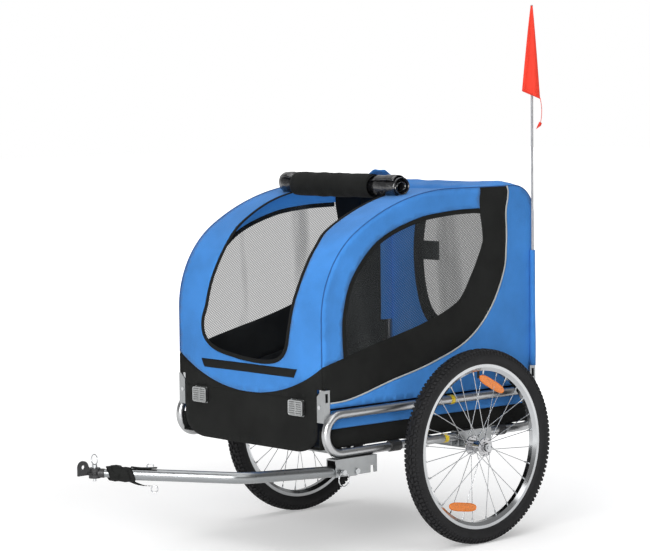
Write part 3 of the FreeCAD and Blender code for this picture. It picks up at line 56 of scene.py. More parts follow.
def middle(node):
    low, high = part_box(node)
    return (low + high) / 2


AXLE_Y = middle("axle_tube").y

# Colours, linear
BLUE = (0.045, 0.222, 0.600)
BLUE_DARK = (0.016, 0.085, 0.270)
BLACK_CLOTH = (0.0100, 0.0105, 0.0100)
NET_BLACK = (0.028, 0.030, 0.030)
RED = (0.880, 0.050, 0.025)
POLISHED = (0.48, 0.49, 0.50)


def scaled(colour, factor):
    return tuple(min(1.0, c * factor) for c in colour)


def grey(value):
    return (value, value, value)


# Shader nodes
def new_material(name):
    """A new material with its node tree, its shader and the object's coordinates."""
    mat = bpy.data.materials.new(name)
    mat.use_nodes = True
    tree = mat.node_tree
    coords = tree.nodes.new("ShaderNodeTexCoord").outputs["Object"]
    return mat, tree, tree.nodes["Principled BSDF"], coords


def set_inputs(node, values):
    for socket, value in values.items():
        node.inputs[socket].default_value = value


def add_node(tree, kind, **values):
    """A new node; each value sets the property of that name, or else the socket."""
    node = tree.nodes.new(kind)
    for key, value in values.items():
        if hasattr(node, key):
            setattr(node, key, value)
        else:
            node.inputs[key].default_value = value
    return node


def link(tree, output, node, socket):
    tree.links.new(output, node.inputs[socket])


def noise_node(tree, coords, scale, detail=4.0, rough=0.55):
    node = add_node(tree, "ShaderNodeTexNoise", Scale=scale, Detail=detail, Roughness=rough)
    link(tree, coords, node, "Vector")
    return node.outputs["Fac"]


def ramp(tree, value, low, high, at=(0.35, 0.65)):
    """Colours from low to high between two values."""
    node = tree.nodes.new("ShaderNodeValToRGB")
    for stop, colour, position in zip(node.color_ramp.elements, (low, high), at):
        stop.color = (*colour, 1)
        stop.position = position
    link(tree, value, node, "Fac")
    return node.outputs["Color"]


def smooth_range(tree, value, start, end, low, high):
    """A number that goes smoothly from low to high while the value goes from start to end."""
    node = add_node(tree, "ShaderNodeMapRange", interpolation_type="SMOOTHSTEP")
    set_inputs(node, {"From Min": start, "From Max": end, "To Min": low, "To Max": high})
    link(tree, value, node, "Value")
    return node.outputs["Result"]


def wave(tree, coords, axis, pitch):
    """Even ribs across one axis; at a scale of 1 the texture has a rib every tenth of pi."""
    node = add_node(tree, "ShaderNodeTexWave", bands_direction=axis, Scale=math.pi / (10 * pitch))
    link(tree, coords, node, "Vector")
    return node.outputs["Fac"]


def math_node(tree, operation, first, second):
    node = add_node(tree, "ShaderNodeMath", operation=operation)
    link(tree, first, node, 0)
    link(tree, second, node, 1)
    return node.outputs["Value"]


def weave_height(tree, coords, pitch):
    """Warp and weft as even ribs on all three axes."""
    total = math_node(tree, "ADD", wave(tree, coords, "X", pitch), wave(tree, coords, "Y", pitch))
    return math_node(tree, "ADD", total, wave(tree, coords, "Z", pitch))


def bump(tree, shader, heights):
    """Chained bumps from (height, strength, distance)."""
    last = None
    for height, strength, distance in heights:
        node = add_node(tree, "ShaderNodeBump", Strength=strength, Distance=distance)
        link(tree, height, node, "Height")
        if last is not None:
            link(tree, last, node, "Normal")
        last = node.outputs["Normal"]
    link(tree, last, shader, "Normal")


# Materials
def cloth(name, colour, pitch=1.2 * MM, rough=0.72, sheen=0.08, vary=0.10, wrinkle=0.22, glow=0.0,
          shine=0.2):
    """Woven cloth; glow stands for daylight that comes through it from outside."""
    mat, tree, shader, coords = new_material(name)
    clouds = noise_node(tree, coords, scale=9.0, detail=3.0)
    tint = ramp(tree, clouds, scaled(colour, 1 - vary), scaled(colour, 1 + vary))
    threads = noise_node(tree, coords, scale=900.0, detail=2.0)
    mix = add_node(tree, "ShaderNodeMix", data_type="RGBA", blend_type="MULTIPLY")
    mix.inputs["Factor"].default_value = 0.22
    link(tree, tint, mix, "A")
    link(tree, ramp(tree, threads, grey(0.55), grey(1.0)), mix, "B")
    link(tree, mix.outputs["Result"], shader, "Base Color")
    set_inputs(shader, {"Roughness": rough, "Sheen Weight": sheen, "Sheen Roughness": 0.5,
                        "Specular IOR Level": shine, "Emission Color": (*colour, 1),
                        "Emission Strength": glow})
    puckers = noise_node(tree, coords, scale=26.0, detail=5.0, rough=0.6)
    weave = weave_height(tree, coords, pitch)
    bump(tree, shader, [(puckers, wrinkle, 3 * MM), (weave, 0.35, 0.3 * MM)])
    return mat


NET_PITCH = 5.2 * MM
CREASE_STRETCH = (1.0, 1.0, 0.22)


def net(name, axes, turn, cover):
    """Open net: slanted crossed threads with clear gaps, denser along soft upright creases."""
    mat, tree, shader, coords = new_material(name)
    slant = add_node(tree, "ShaderNodeMapping", Rotation=turn)
    link(tree, coords, slant, "Vector")
    warp, weft = (wave(tree, slant.outputs["Vector"], axis, NET_PITCH) for axis in axes)
    threads = math_node(tree, "MAXIMUM", warp, weft)
    dense = ramp(tree, threads, grey(cover[0]), grey(cover[1]), (0.35, 1.0))
    stretch = add_node(tree, "ShaderNodeMapping", Scale=CREASE_STRETCH)
    link(tree, coords, stretch, "Vector")
    crease = noise_node(tree, stretch.outputs["Vector"], scale=11.0, detail=2.0, rough=0.4)
    folds = ramp(tree, crease, grey(0.0), grey(0.13), (0.55, 0.68))
    link(tree, math_node(tree, "ADD", dense, folds), shader, "Alpha")
    # Painted sheen: the thread colour is lighter along the creases
    tint = ramp(tree, crease, scaled(NET_BLACK, 0.9), scaled(NET_BLACK, 1.7), (0.45, 0.7))
    link(tree, tint, shader, "Base Color")
    set_inputs(shader, {"Roughness": 0.8, "Specular IOR Level": 0.1})
    return mat


def metal(name, colour, rough, vary=0.06, metallic=1.0):
    """Metal with soft clouds in its colour and fine streaks in its roughness."""
    mat, tree, shader, coords = new_material(name)
    clouds = noise_node(tree, coords, scale=18.0)
    link(tree, ramp(tree, clouds, scaled(colour, 1 - vary), colour), shader, "Base Color")
    streaks = noise_node(tree, coords, scale=140.0, detail=6.0, rough=0.7)
    link(tree, ramp(tree, streaks, grey(rough * 0.9), grey(rough * 1.12)), shader, "Roughness")
    shader.inputs["Metallic"].default_value = metallic
    return mat


def plastic(name, colour, rough, grain=0.2, coat=0.0, shine=0.5, crumple=0.0):
    """Plastic or rubber with a fine grain; crumple gives it large dents."""
    mat, tree, shader, coords = new_material(name)
    clouds = noise_node(tree, coords, scale=40.0)
    link(tree, ramp(tree, clouds, scaled(colour, 0.85), scaled(colour, 1.1)), shader, "Base Color")
    set_inputs(shader, {"Roughness": rough, "Coat Weight": coat, "Specular IOR Level": shine})
    dents = noise_node(tree, coords, scale=55.0, detail=3.0)
    grains = noise_node(tree, coords, scale=700.0, detail=2.0)
    bump(tree, shader, [(dents, crumple, 6 * MM), (grains, grain, 0.15 * MM)])
    return mat


def prism(name, colour, glow):
    """Reflector plastic with a fine grid of prisms under a clear coat."""
    mat, tree, shader, coords = new_material(name)
    cells = add_node(tree, "ShaderNodeTexVoronoi", Scale=330.0, feature="F1", distance="CHEBYCHEV")
    link(tree, coords, cells, "Vector")
    depth = cells.outputs["Distance"]
    # Painted highlight and shade: each prism is lighter in its middle and darker towards its edge
    tint = ramp(tree, depth, scaled(colour, 1.15), scaled(colour, 0.6), (0.1, 0.8))
    link(tree, tint, shader, "Base Color")
    # The emission is a painted glow; the reflector is no lamp
    set_inputs(shader, {"Roughness": 0.16, "Coat Weight": 0.35, "Coat Roughness": 0.05,
                        "Emission Color": (*colour, 1), "Emission Strength": glow})
    bump(tree, shader, [(depth, 0.6, 0.8 * MM)])
    return mat


LOOKS = {
    "blue": cloth("blue_cloth", BLUE),
    # Inner faces: blue a tenth darker, with a painted glow for daylight that comes through the cloth
    "blue_inside_glow": cloth("blue_cloth_inside_glow", scaled(BLUE, 0.9), glow=0.32),
    # Painted light: a stronger glow on this blue stands in for daylight inside the cabin, on the hoop sleeves
    # and the rear cover's inner face
    "blue_lit": cloth("blue_cloth_lit", scaled(BLUE, 0.95), glow=0.6),
    "blue_trim": cloth("blue_trim", BLUE_DARK, wrinkle=0.1),
    "black": cloth("black_cloth", BLACK_CLOTH, sheen=0.02, vary=0.25, shine=0.1),
    "binding": cloth("black_binding", scaled(BLACK_CLOTH, 0.8), pitch=0.9 * MM, wrinkle=0.1, sheen=0.01,
                     shine=0.1),
    "webbing": cloth("black_webbing", scaled(BLACK_CLOTH, 0.9), pitch=2.0 * MM, wrinkle=0.15, sheen=0.01,
                     shine=0.12),
    "piping": cloth("grey_piping", (0.42, 0.43, 0.41), pitch=0.8 * MM, rough=0.4, sheen=0.0, wrinkle=0.05),
    "red": cloth("red_cloth", RED, pitch=0.8 * MM, rough=0.5, vary=0.08, wrinkle=0.1),
    "net": net("side_net", axes=("Y", "Z"), turn=(0.6, 0, 0), cover=(0.46, 0.80)),
    "rear_net": net("rear_net", axes=("X", "Z"), turn=(0, 0.6, 0), cover=(0.24, 0.56)),
    "loop": metal("bright_tube", (0.46, 0.465, 0.47), rough=0.30),
    "tube": metal("zinc_tube", (0.26, 0.27, 0.275), rough=0.30),
    "bracket": metal("zinc_plate", (0.34, 0.35, 0.355), rough=0.32, vary=0.12),
    "bolt": metal("bright_bolt", (0.50, 0.51, 0.52), rough=0.24),
    "rim": metal("polished_rim", POLISHED, rough=0.14),
    "spoke": metal("spoke_wire", POLISHED, rough=0.25),
    "hub": metal("plated_hub", (0.46, 0.46, 0.47), rough=0.2),
    "coated": metal("black_coated", (0.020, 0.020, 0.021), rough=0.42, metallic=0.2),
    "rubber": plastic("tyre_rubber", (0.013, 0.013, 0.014), rough=0.7, grain=0.4, shine=0.25),
    "dark_plastic": plastic("dark_plastic", (0.018, 0.018, 0.019), rough=0.4),
    "yellow": plastic("yellow_tape", (0.80, 0.58, 0.02), rough=0.4),
    "white": plastic("white_pole", (0.36, 0.36, 0.37), rough=0.4, grain=0.05, shine=0.3),
    # The amber reflector's glow is painted light
    "amber": prism("amber_reflector", (0.80, 0.205, 0.006), glow=0.05),
    "silver": metal("silver_reflector", (0.42, 0.43, 0.43), rough=0.3, vary=0.25),
    "film": plastic("clear_film", (0.010, 0.010, 0.011), rough=0.10, grain=0.03, coat=0.6, crumple=0.9),
}


def both(*names):
    """Each name with left and right added."""
    return [f"{name}_{side}" for name in names for side, _ in SIDES]


# The look of each CAD node that stays in view
NODE_LOOKS = {
    "loop": both("frame_loop", "side_hoop"),
    "tube": ["front_cross_tube", "rear_cross_tube", "axle_tube", "tow_arm_tube", "tow_end_rod"],
    "bracket": [*both("axle_bracket"), "hinge_brackets", "tow_channel"],
    "bolt": ["hinge_rivets", "tow_pivot_bolt", "tow_lock_pin", "hitch_pin", "strap_ring",
             *both("axle", "release_button")],
    "rim": both("rim"),
    "spoke": both("spokes"),
    "hub": both("hub"),
    "coated": ["hitch_knuckle", "hitch_plate"],
    "rubber": both("inner_tube"),
    "dark_plastic": ["tube_sleeves", *both("hub_bearings")],
    "yellow": ["marker_bands"],
    "white": ["flag_pole"],
    "black": ["floor_board"],
}


def dress_nodes():
    for look, names in NODE_LOOKS.items():
        for name in names:
            data = NODES[name].data
            data.materials.clear()
            data.materials.append(LOOKS[look])


# Meshes
def make_piece(name, verts, faces, look, body, slot=None, replaces=(), smooth=True, thick=0.0, offset=-1.0,
               inner=None):
    """A mesh on a body; thick is the thickness of a cloth, and inner the look of its other face."""
    mesh = bpy.data.meshes.new(name)
    mesh.from_pydata([tuple(v) for v in verts], [], faces)
    mesh.materials.append(LOOKS[look])
    mesh.polygons.foreach_set("use_smooth", [smooth] * len(mesh.polygons))
    mesh.update()
    obj = bpy.data.objects.new(name, mesh)
    bpy.context.scene.collection.objects.link(obj)
    if thick:
        solid = obj.modifiers.new("thickness", "SOLIDIFY")
        solid.thickness = thick
        solid.offset = offset
        if inner:
            mesh.materials.append(LOOKS[inner])
            solid.material_offset = 1
    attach(obj, body)
    if replaces:
        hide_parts(*replaces)
    return obj


def grid_faces(rows, count, base=0, closed=False):
    """Quads from each given row of count points to the row after it; closed joins each row's ends."""
    faces = []
    for row in rows:
        for i in range(count if closed else count - 1):
            a = base + row * count + i
            b = base + row * count + (i + 1) % count
            faces.append((a, b, b + count, a + count))
    return faces


def wrapped(faces, count):
    """Faces whose last row runs on into the first one of count points."""
    return [tuple(v % count for v in f) for f in faces]


def grid_points(rows, columns, point):
    """Points of a sheet, where point takes the shares from 0 to 1 along its rows and columns."""
    return [point(i / rows, k / columns) for i in range(rows + 1) for k in range(columns + 1)]


def grid_piece(name, rows, columns, point, look, body, **extra):
    faces = grid_faces(range(rows), columns + 1)
    return make_piece(name, grid_points(rows, columns, point), faces, look, body, **extra)


def ring_angles(count):
    return [2 * math.pi * k / count for k in range(count)]


def resample(points, spacing, closed=False):
    """Points at an even spacing along a polyline."""
    line = np.array(points, float)
    if closed:
        line = np.vstack([line, line[:1]])
    steps = np.linalg.norm(np.diff(line, axis=0), axis=1)
    along = np.concatenate([[0], np.cumsum(steps)])
    count = max(2, int(round(along[-1] / spacing)))
    at = np.linspace(0, along[-1], count + 1)
    if closed:
        at = at[:-1]
    return np.column_stack([np.interp(at, along, line[:, k]) for k in range(line.shape[1])])


def rectangle(low, high, spacing):
    """A rectangle between two corners as a loop of points."""
    return resample([low, (high[0], low[1]), high, (low[0], high[1])], spacing, closed=True)


SPLINE_STEPS = 12
CURVE_SPACING = 8 * MM


def spline(points, spacing=CURVE_SPACING):
    """A smooth open curve through a few points."""
    p = np.array(points, float)
    p = np.vstack([2 * p[0] - p[1], p, 2 * p[-1] - p[-2]])
    out = []
    for a, b, c, e in zip(p, p[1:], p[2:], p[3:]):
        for t in np.linspace(0, 1, SPLINE_STEPS, endpoint=False):
            out.append(0.5 * (2 * b + (c - a) * t + (2 * a - 5 * b + 4 * c - e) * t * t
                              + (3 * b - a - 3 * c + e) * t ** 3))
    out.append(p[-2])
    return resample(out, spacing)


def tangents(points, closed=False):
    """Unit directions along a line of points."""
    if closed:
        way = np.roll(points, -1, 0) - np.roll(points, 1, 0)
    else:
        way = np.gradient(points, axis=0)
    return way / np.linalg.norm(way, axis=1)[:, None]


def normals(points, closed=False):
    """Unit directions to the left of a flat line of points."""
    way = tangents(points, closed)
    return np.column_stack([-way[:, 1], way[:, 0]])


def nearest(points, place):
    """Which of the points lies nearest to a place."""
    return int(np.argmin((points[:, 0] - place[0]) ** 2 + (points[:, 1] - place[1]) ** 2))


def inside(points, loop):
    """Which points lie inside a closed loop."""
    x, y = points[:, 0], points[:, 1]
    result = np.zeros(len(points), bool)
    for (x0, y0), (x1, y1) in zip(loop, np.roll(loop, -1, 0)):
        if y0 == y1:
            continue
        crosses = (y0 > y) != (y1 > y)
        result ^= crosses & (x < (x1 - x0) * (y - y0) / (y1 - y0) + x0)
    return result


def in_region(points, loops):
    """Which points lie inside the first loop and outside the others."""
    keep = inside(points, loops[0])
    for hole in loops[1:]:
        keep &= ~inside(points, hole)
    return keep


BORDER_GAP = 0.55
MERGE_WITHIN = 1e-7


def fill_region(outline, holes, spacing):
    """Triangles that fill a flat outline with holes, with inner points on an even grid off its borders."""
    loops = [np.array(loop) for loop in (outline, *holes)]
    border = np.vstack(loops)
    edges = []
    start = 0
    for loop in loops:
        count = len(loop)
        edges += [(start + i, start + (i + 1) % count) for i in range(count)]
        start += count
    low, high = border.min(0), border.max(0)
    half = spacing / 2
    across = np.arange(low[0] + half, high[0], spacing)
    along = np.arange(low[1] + half, high[1], spacing)
    grid = np.array([(u + (half if k % 2 else 0), v) for k, v in enumerate(along) for u in across])
    grid = grid[in_region(grid, loops)]
    gaps = np.array([np.min(np.sum((border - point) ** 2, axis=1)) for point in grid])
    points = np.vstack([border, grid[gaps > (BORDER_GAP * spacing) ** 2]])
    made = geometry.delaunay_2d_cdt([Vector(p) for p in points], edges, [], 0, MERGE_WITHIN)
    verts = np.array([tuple(p) for p in made[0]])
    faces = [tuple(f) for f in made[2]]
    centres = np.array([verts[list(f)].mean(0) for f in faces])
    return verts, [f for f, keep in zip(faces, in_region(centres, loops)) if keep]


# Cabin profile, from the foot of the front over the roof to the foot of the rear cover
FRONT_Y = AXLE_Y - 472 * MM
REAR_Y = AXLE_Y + 281 * MM
ROOF_Z = 907 * MM
LOW_Z = 268 * MM
COVER_Z = 405 * MM
HALF_X = 277 * MM
BROW_R = 250 * MM
ROOF_R = 625 * MM
REAR_R = 75 * MM
BROW_TURN = math.radians(32)
PROFILE_STEP = 4 * MM


def profile_arc(centre_y, centre_z, radius, turns):
    """Samples of an arc at angles from straight up, positive towards the front."""
    return [(centre_y - radius * math.sin(a), centre_z + radius * math.cos(a), -math.sin(a), math.cos(a))
            for a in turns]


def profile_samples():
    """Places (y, z) along the profile, each with its outward normal."""
    quarter = math.pi / 2
    brow_z = ROOF_Z - BROW_R * math.cos(BROW_TURN) - ROOF_R * (1 - math.cos(BROW_TURN))
    roof_y = FRONT_Y + BROW_R * (1 - math.sin(BROW_TURN)) + ROOF_R * math.sin(BROW_TURN)
    samples = [(FRONT_Y, z, -1, 0) for z in np.arange(LOW_Z, brow_z, PROFILE_STEP)]
    samples += profile_arc(FRONT_Y + BROW_R, brow_z, BROW_R, np.linspace(quarter, BROW_TURN, 80))
    samples += profile_arc(roof_y, ROOF_Z - ROOF_R, ROOF_R, np.linspace(BROW_TURN, 0, 90)[1:])
    samples += [(y, ROOF_Z, 0, 1) for y in np.arange(roof_y + PROFILE_STEP, REAR_Y - REAR_R, PROFILE_STEP)]
    samples += profile_arc(REAR_Y - REAR_R, ROOF_Z - REAR_R, REAR_R, np.linspace(0, -quarter, 30))
    down = np.arange(ROOF_Z - REAR_R - PROFILE_STEP, COVER_Z, -PROFILE_STEP)
    samples += [(REAR_Y, z, 1, 0) for z in (*down, COVER_Z)]
    return np.array(samples)


PROFILE = profile_samples()
PROFILE_S = np.concatenate([[0], np.cumsum(np.linalg.norm(np.diff(PROFILE[:, :2], axis=0), axis=1))])
ROOF_ABOVE_Z = 600 * MM


def s_at_y(y):
    """Place along the profile's roof where it reaches a given Y."""
    top = PROFILE[:, 1] > ROOF_ABOVE_Z
    order = np.argsort(PROFILE[top, 0])
    return float(np.interp(y, PROFILE[top, 0][order], PROFILE_S[top][order]))


S_END = PROFILE_S[-1]
S_ROOF_END = s_at_y(REAR_Y - REAR_R)
S_COVER = COVER_Z - LOW_Z

# Cabin surfaces: the wrap over front, roof and rear, and the two sides. Waves are (scale, size) and fade out
# over a fifth of the wrap's half width, or over the sides' stiff border
COVER_WAVES = ((6.0, 2.2 * MM), (17.0, 0.9 * MM))
SIDE_WAVES = ((5.0, 2.4 * MM), (15.0, 0.8 * MM))
WRAP_FADE = 5
STIFF_BORDER = 60 * MM
ROOF_SAG = 9 * MM
SAG_START = AXLE_Y - 130 * MM
SAG_RUN = 110 * MM
PUFF = 2.4 * MM
PUFF_AT = 12 * MM
PUFF_WIDTH = 8 * MM


def wobble(x, y, z, scale, size):
    return noise.noise(Vector((x, y, z)) * scale) * size


def waves(x, y, z, sizes):
    return sum(wobble(x, y, z, scale, size) for scale, size in sizes)


def ease(share):
    share = min(1.0, max(0.0, share))
    return share * share * (3 - 2 * share)


def wrap_point(x, s, h=0.0):
    """A point on the front, roof and rear cloth; h is its height above the cloth."""
    y, z, ny, nz = (float(np.interp(s, PROFILE_S, PROFILE[:, k])) for k in range(4))
    soft = min(1.0, WRAP_FADE * max(0.0, 1 - abs(x) / HALF_X))
    sag = (1 - (x / HALF_X) ** 2) * ease((y - SAG_START) / SAG_RUN) * ease((REAR_Y - y) / SAG_RUN)
    h += soft * waves(x, y, z, COVER_WAVES) - ROOF_SAG * sag
    return Vector((x, y + ny * h, z + nz * h))


def side_map(side):
    """Gives the points of one side's cloth, which puffs out where it wraps the hoop."""
    def place(y, z, h=0.0):
        edge = float(np.sqrt(np.min((PROFILE[:, 0] - y) ** 2 + (PROFILE[:, 1] - z) ** 2)))
        out = min(1.0, edge / STIFF_BORDER) * waves(side, y, z, SIDE_WAVES)
        out += PUFF * math.exp(-((edge - PUFF_AT) / PUFF_WIDTH) ** 2)
        return Vector((side * (HALF_X + out + h), y, z))
    return place


# Pieces on a surface
CLOTH_THICK = 1.4 * MM
FILL_SPACING = 12 * MM


def facing_out(verts, faces, outward):
    """Faces turned so that the first one looks along the outward direction."""
    a, b, c = (Vector(verts[i]) for i in faces[0][:3])
    return faces if (b - a).cross(c - a).dot(outward) > 0 else [f[::-1] for f in faces]


def region_piece(name, outline, place, look, body, holes=(), height=0.0, spacing=FILL_SPACING,
                 thick=CLOTH_THICK, **extra):
    """Cloth that fills an outline with holes at a height above the surface that place describes."""
    flat, faces = fill_region(outline, holes, spacing)
    points = [place(u, v, height) for u, v in flat]
    u, v = flat[faces[0][0]]
    faces = facing_out(points, faces, place(u, v, height + 1 * MM) - place(u, v, height))
    return make_piece(name, points, faces, look, body, thick=thick, **extra)


# A strip's section as shares of its width and rise; its middle rows of faces come first, to turn it by
STRIP_SECTION = ((0.0, -0.6), (0.04, 0.5), (0.2, 0.95), (0.5, 1.0), (0.8, 0.95), (0.96, 0.5), (1.0, -0.6))
STRIP_ROWS = (2, 3, 0, 1, 4, 5)


def strip_piece(name, path, width, place, look, body, rise, closed=False, inward=1, start=0.0, **extra):
    """A flat strip with rolled edges on a cloth, laid from start to one side of a path."""
    p = np.array(path, float)
    aside = normals(p, closed) * inward
    verts = []
    for share, height in STRIP_SECTION:
        verts += [place(u, v, height * rise) for u, v in p + aside * (start + width * share)]
    u, v = p[0]
    faces = grid_faces(STRIP_ROWS, len(p), closed=closed)
    faces = facing_out(verts, faces, place(u, v, rise) - place(u, v, 0.0))
    return make_piece(name, verts, faces, look, body, **extra)


# A direction that no tube runs along
TUBE_GUIDE = Vector((0.31, 0.52, 0.79))


def tube_piece(name, path, radii, look, body, closed=False, sides=10, **extra):
    """A round tube along 3D points, with one radius or one for each point."""
    p = np.array([tuple(v) for v in path], float)
    ways = [Vector(t) for t in tangents(p, closed)]
    normal = ways[0].cross(TUBE_GUIDE).normalized()
    verts = []
    for point, way, radius in zip(p, ways, np.broadcast_to(radii, len(p))):
        normal = (normal - way * normal.dot(way)).normalized()
        other = way.cross(normal)
        for a in ring_angles(sides):
            verts.append(Vector(point) + (normal * math.cos(a) + other * math.sin(a)) * radius)
    count = len(verts)
    if closed:
        faces = wrapped(grid_faces(range(len(p)), sides, closed=True), count)
    else:
        faces = grid_faces(range(len(p) - 1), sides, closed=True)
        faces.append(tuple(range(sides))[::-1])
        faces.append(tuple(range(count - sides, count)))
    return make_piece(name, verts, faces, look, body, **extra)


def flatten(obj):
    """Gives a piece of cabin cloth a mesh of its own."""
    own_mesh(obj)
    return obj


def cover_piece(name, outline, look, **extra):
    return flatten(region_piece(name, outline, wrap_point, look, "frame", **extra))


# Front and roof cover; places on it are in millimetres across and along the profile
PANEL_TOP_Z = 404 * MM
PANEL_TOP_R = 510 * MM
NOTCH_X = 257 * MM
BRACKET_TOP_Z = 431 * MM
NOTCH_S = BRACKET_TOP_Z - LOW_Z
ACROSS = np.linspace(-HALF_X, HALF_X, 56)
DOOR_EDGE = [(-176, 815), (-186, 740), (-186, 680), (-176, 595), (-164, 534), (-158, 475), (-160, 410),
             (-166, 350), (-183, 310), (-183, 276), (-166, 252), (-128, 233), (-60, 221), (20, 214),
             (85, 216), (124, 229), (146, 256), (156, 300), (170, 356), (183, 410), (187, 470), (182, 530),
             (172, 580), (169, 650), (172, 730), (176, 815)]


def panel_top(x):
    """Curved upper edge of the black front panel."""
    return PANEL_TOP_Z + PANEL_TOP_R - math.sqrt(PANEL_TOP_R ** 2 - x * x) - LOW_Z


def front_cloth():
    """Blue cover with the door opening, the black panel's two corners under it, and the door's binding."""
    curve = [(x, panel_top(x)) for x in ACROSS]
    sides_up = np.linspace(panel_top(HALF_X), S_ROOF_END, 160)
    outline = curve + [(HALF_X, s) for s in sides_up[1:]] + [(x, S_ROOF_END) for x in ACROSS[::-1][1:]]
    outline += [(-HALF_X, s) for s in sides_up[::-1][1:-1]]
    door = resample(spline([(x * MM, s * MM) for x, s in DOOR_EDGE]), CURVE_SPACING, closed=True)
    cover_piece("cover_front", outline, "blue", holes=[door], replaces=["front_cover"], inner="blue_inside_glow")
    corner = [(x, s) for x, s in curve[::-1] if x > 0 and s > S_COVER + 0.5 * MM]
    corner += [(x, S_COVER) for x in np.linspace(corner[-1][0], NOTCH_X, 24)]
    corner += [(NOTCH_X, NOTCH_S), (HALF_X, NOTCH_S)]
    cover_piece("front_panel_upper_left", corner, "black")
    cover_piece("front_panel_upper_right", [(-x, s) for x, s in corner[::-1]], "black")
    flatten(strip_piece("door_binding", door, 11 * MM, wrap_point, "binding", "frame", rise=1.6 * MM,
                        closed=True, inward=-1, start=-8 * MM))


SEAM_R = 1.5 * MM
SEAM_INSET = 0.4 * MM
SEAM_RISE = 0.2 * MM
SEAM_STEP = 7 * MM
SEAM_END = S_END - 26 * MM


def cover_seams():
    """Corded seams where the front, roof and rear cloth meet the sides, black beside the black panel."""
    change = panel_top(HALF_X)
    zones = (("low", "binding", NOTCH_S, change), ("high", "blue_trim", change, SEAM_END))
    for name, side in SIDES:
        x = side * (HALF_X - SEAM_INSET)
        for zone, look, start, end in zones:
            path = [wrap_point(x, s, SEAM_RISE) for s in np.arange(start, end, SEAM_STEP)]
            flatten(tube_piece(f"corner_seam_{zone}_{name}", path, SEAM_R, look, "frame", sides=8))


# Cabin sides; places on them are in millimetres behind the axle and up
WINDOW_EDGE = [(-402, 504), (-404, 560), (-398, 622), (-366, 704), (-281, 787), (-151, 835), (-31, 850),
               (78, 853)]
BAND_INNER = [(80, 907), (80, 853), (90, 790), (84, 750), (20, 640), (-32, 602), (-141, 566), (-314, 526),
              (-402, 504), (-472, 487)]
BAND_OUTER = [(178, 907), (182, 880), (175, 840), (176, 764), (166, 686), (118, 596), (32, 518), (-97, 469),
              (-242, 436), (-378, 403), (-472, 398)]
RUN_SPACING = 9 * MM
JOIN_WITHIN = 0.8 * MM
PANEL_LOW_Z = 383 * MM
FRONT_NOTCH_Y = AXLE_Y - 450 * MM
REAR_NOTCH_Y = AXLE_Y + 259 * MM
NET_HEIGHT = -0.8 * MM


def side_curve(points):
    return spline([(AXLE_Y + y * MM, z * MM) for y, z in points])


def profile_run(start, end):
    """Points of the cabin profile between two places on it, in that order."""
    a, b = nearest(PROFILE, start), nearest(PROFILE, end)
    run = PROFILE[a:b + 1, :2] if a <= b else PROFILE[b:a + 1, :2][::-1]
    return resample(run, RUN_SPACING)


def joined(*runs):
    """One loop from several runs, without the doubled points where they meet."""
    loop = []
    for p in np.vstack(runs):
        if not loop or np.hypot(*(p - loop[-1])) > JOIN_WITHIN:
            loop.append(p)
    if np.hypot(*(loop[0] - loop[-1])) < JOIN_WITHIN:
        loop.pop()
    return np.array(loop)


def side_cloth(name, side):
    """One side: blue above and below the black band, with the net window, its binding and the piping."""
    place = side_map(side)
    body = f"side_{name}"
    inner = side_curve(BAND_INNER)
    outer = side_curve(BAND_OUTER)
    window = side_curve(WINDOW_EDGE)
    split = nearest(inner, window[-1])
    low = nearest(inner, window[0])
    reach = int(np.argmin(np.abs(outer[:, 0] - FRONT_NOTCH_Y)))
    edge = outer[:reach + 1]

    upper = joined(profile_run(inner[-1], inner[0]), inner[:split + 1], window[::-1], inner[low:])
    region_piece(f"side_upper_{name}", upper, place, "blue", body, inner="blue_inside_glow",
                 replaces=[f"side_panel_{name}"])
    front_run = resample([inner[-1], (FRONT_Y, BRACKET_TOP_Z), (FRONT_NOTCH_Y, BRACKET_TOP_Z), edge[-1]],
                         CURVE_SPACING)
    band_loop = joined(inner, front_run, edge[::-1], profile_run(inner[0], outer[0])[::-1])
    region_piece(f"side_band_{name}", band_loop, place, "black", body)
    foot = resample([(REAR_Y, BRACKET_TOP_Z), (REAR_NOTCH_Y, BRACKET_TOP_Z), (REAR_NOTCH_Y, PANEL_LOW_Z),
                     (FRONT_NOTCH_Y, PANEL_LOW_Z), edge[-1]], RUN_SPACING)
    lower = joined(profile_run(outer[0], (REAR_Y, BRACKET_TOP_Z)), foot, edge[::-1])
    region_piece(f"side_lower_{name}", lower, place, "blue", body, inner="black")
    region_piece(f"side_net_{name}", joined(window, inner[split:low + 1]), place, "net", body,
                 height=NET_HEIGHT, thick=0.0, replaces=[f"window_mesh_{name}"])
    strip_piece(f"window_binding_{name}", window, 12 * MM, place, "binding", body, rise=1.5 * MM, inward=-1)
    strip_piece(f"band_piping_{name}", edge, 4 * MM, place, "piping", body, rise=2.2 * MM)


# Pocket on the rear leg of each hoop, found from the knuckles that end the hoop's box
KNUCKLE_R = 9 * MM
KNUCKLE_HALF = 8.2 * MM
SLEEVE_R = 8.25 * MM
SLEEVE_LENGTH = 21 * MM
SLEEVE_LOW_Z = 518 * MM
SLEEVE_TOP_Z = ROOF_Z - REAR_R - 6 * MM
SLEEVE_SLACK = 1.2 * MM
SLEEVE_ROWS = 22
SLEEVE_SIDES = 24


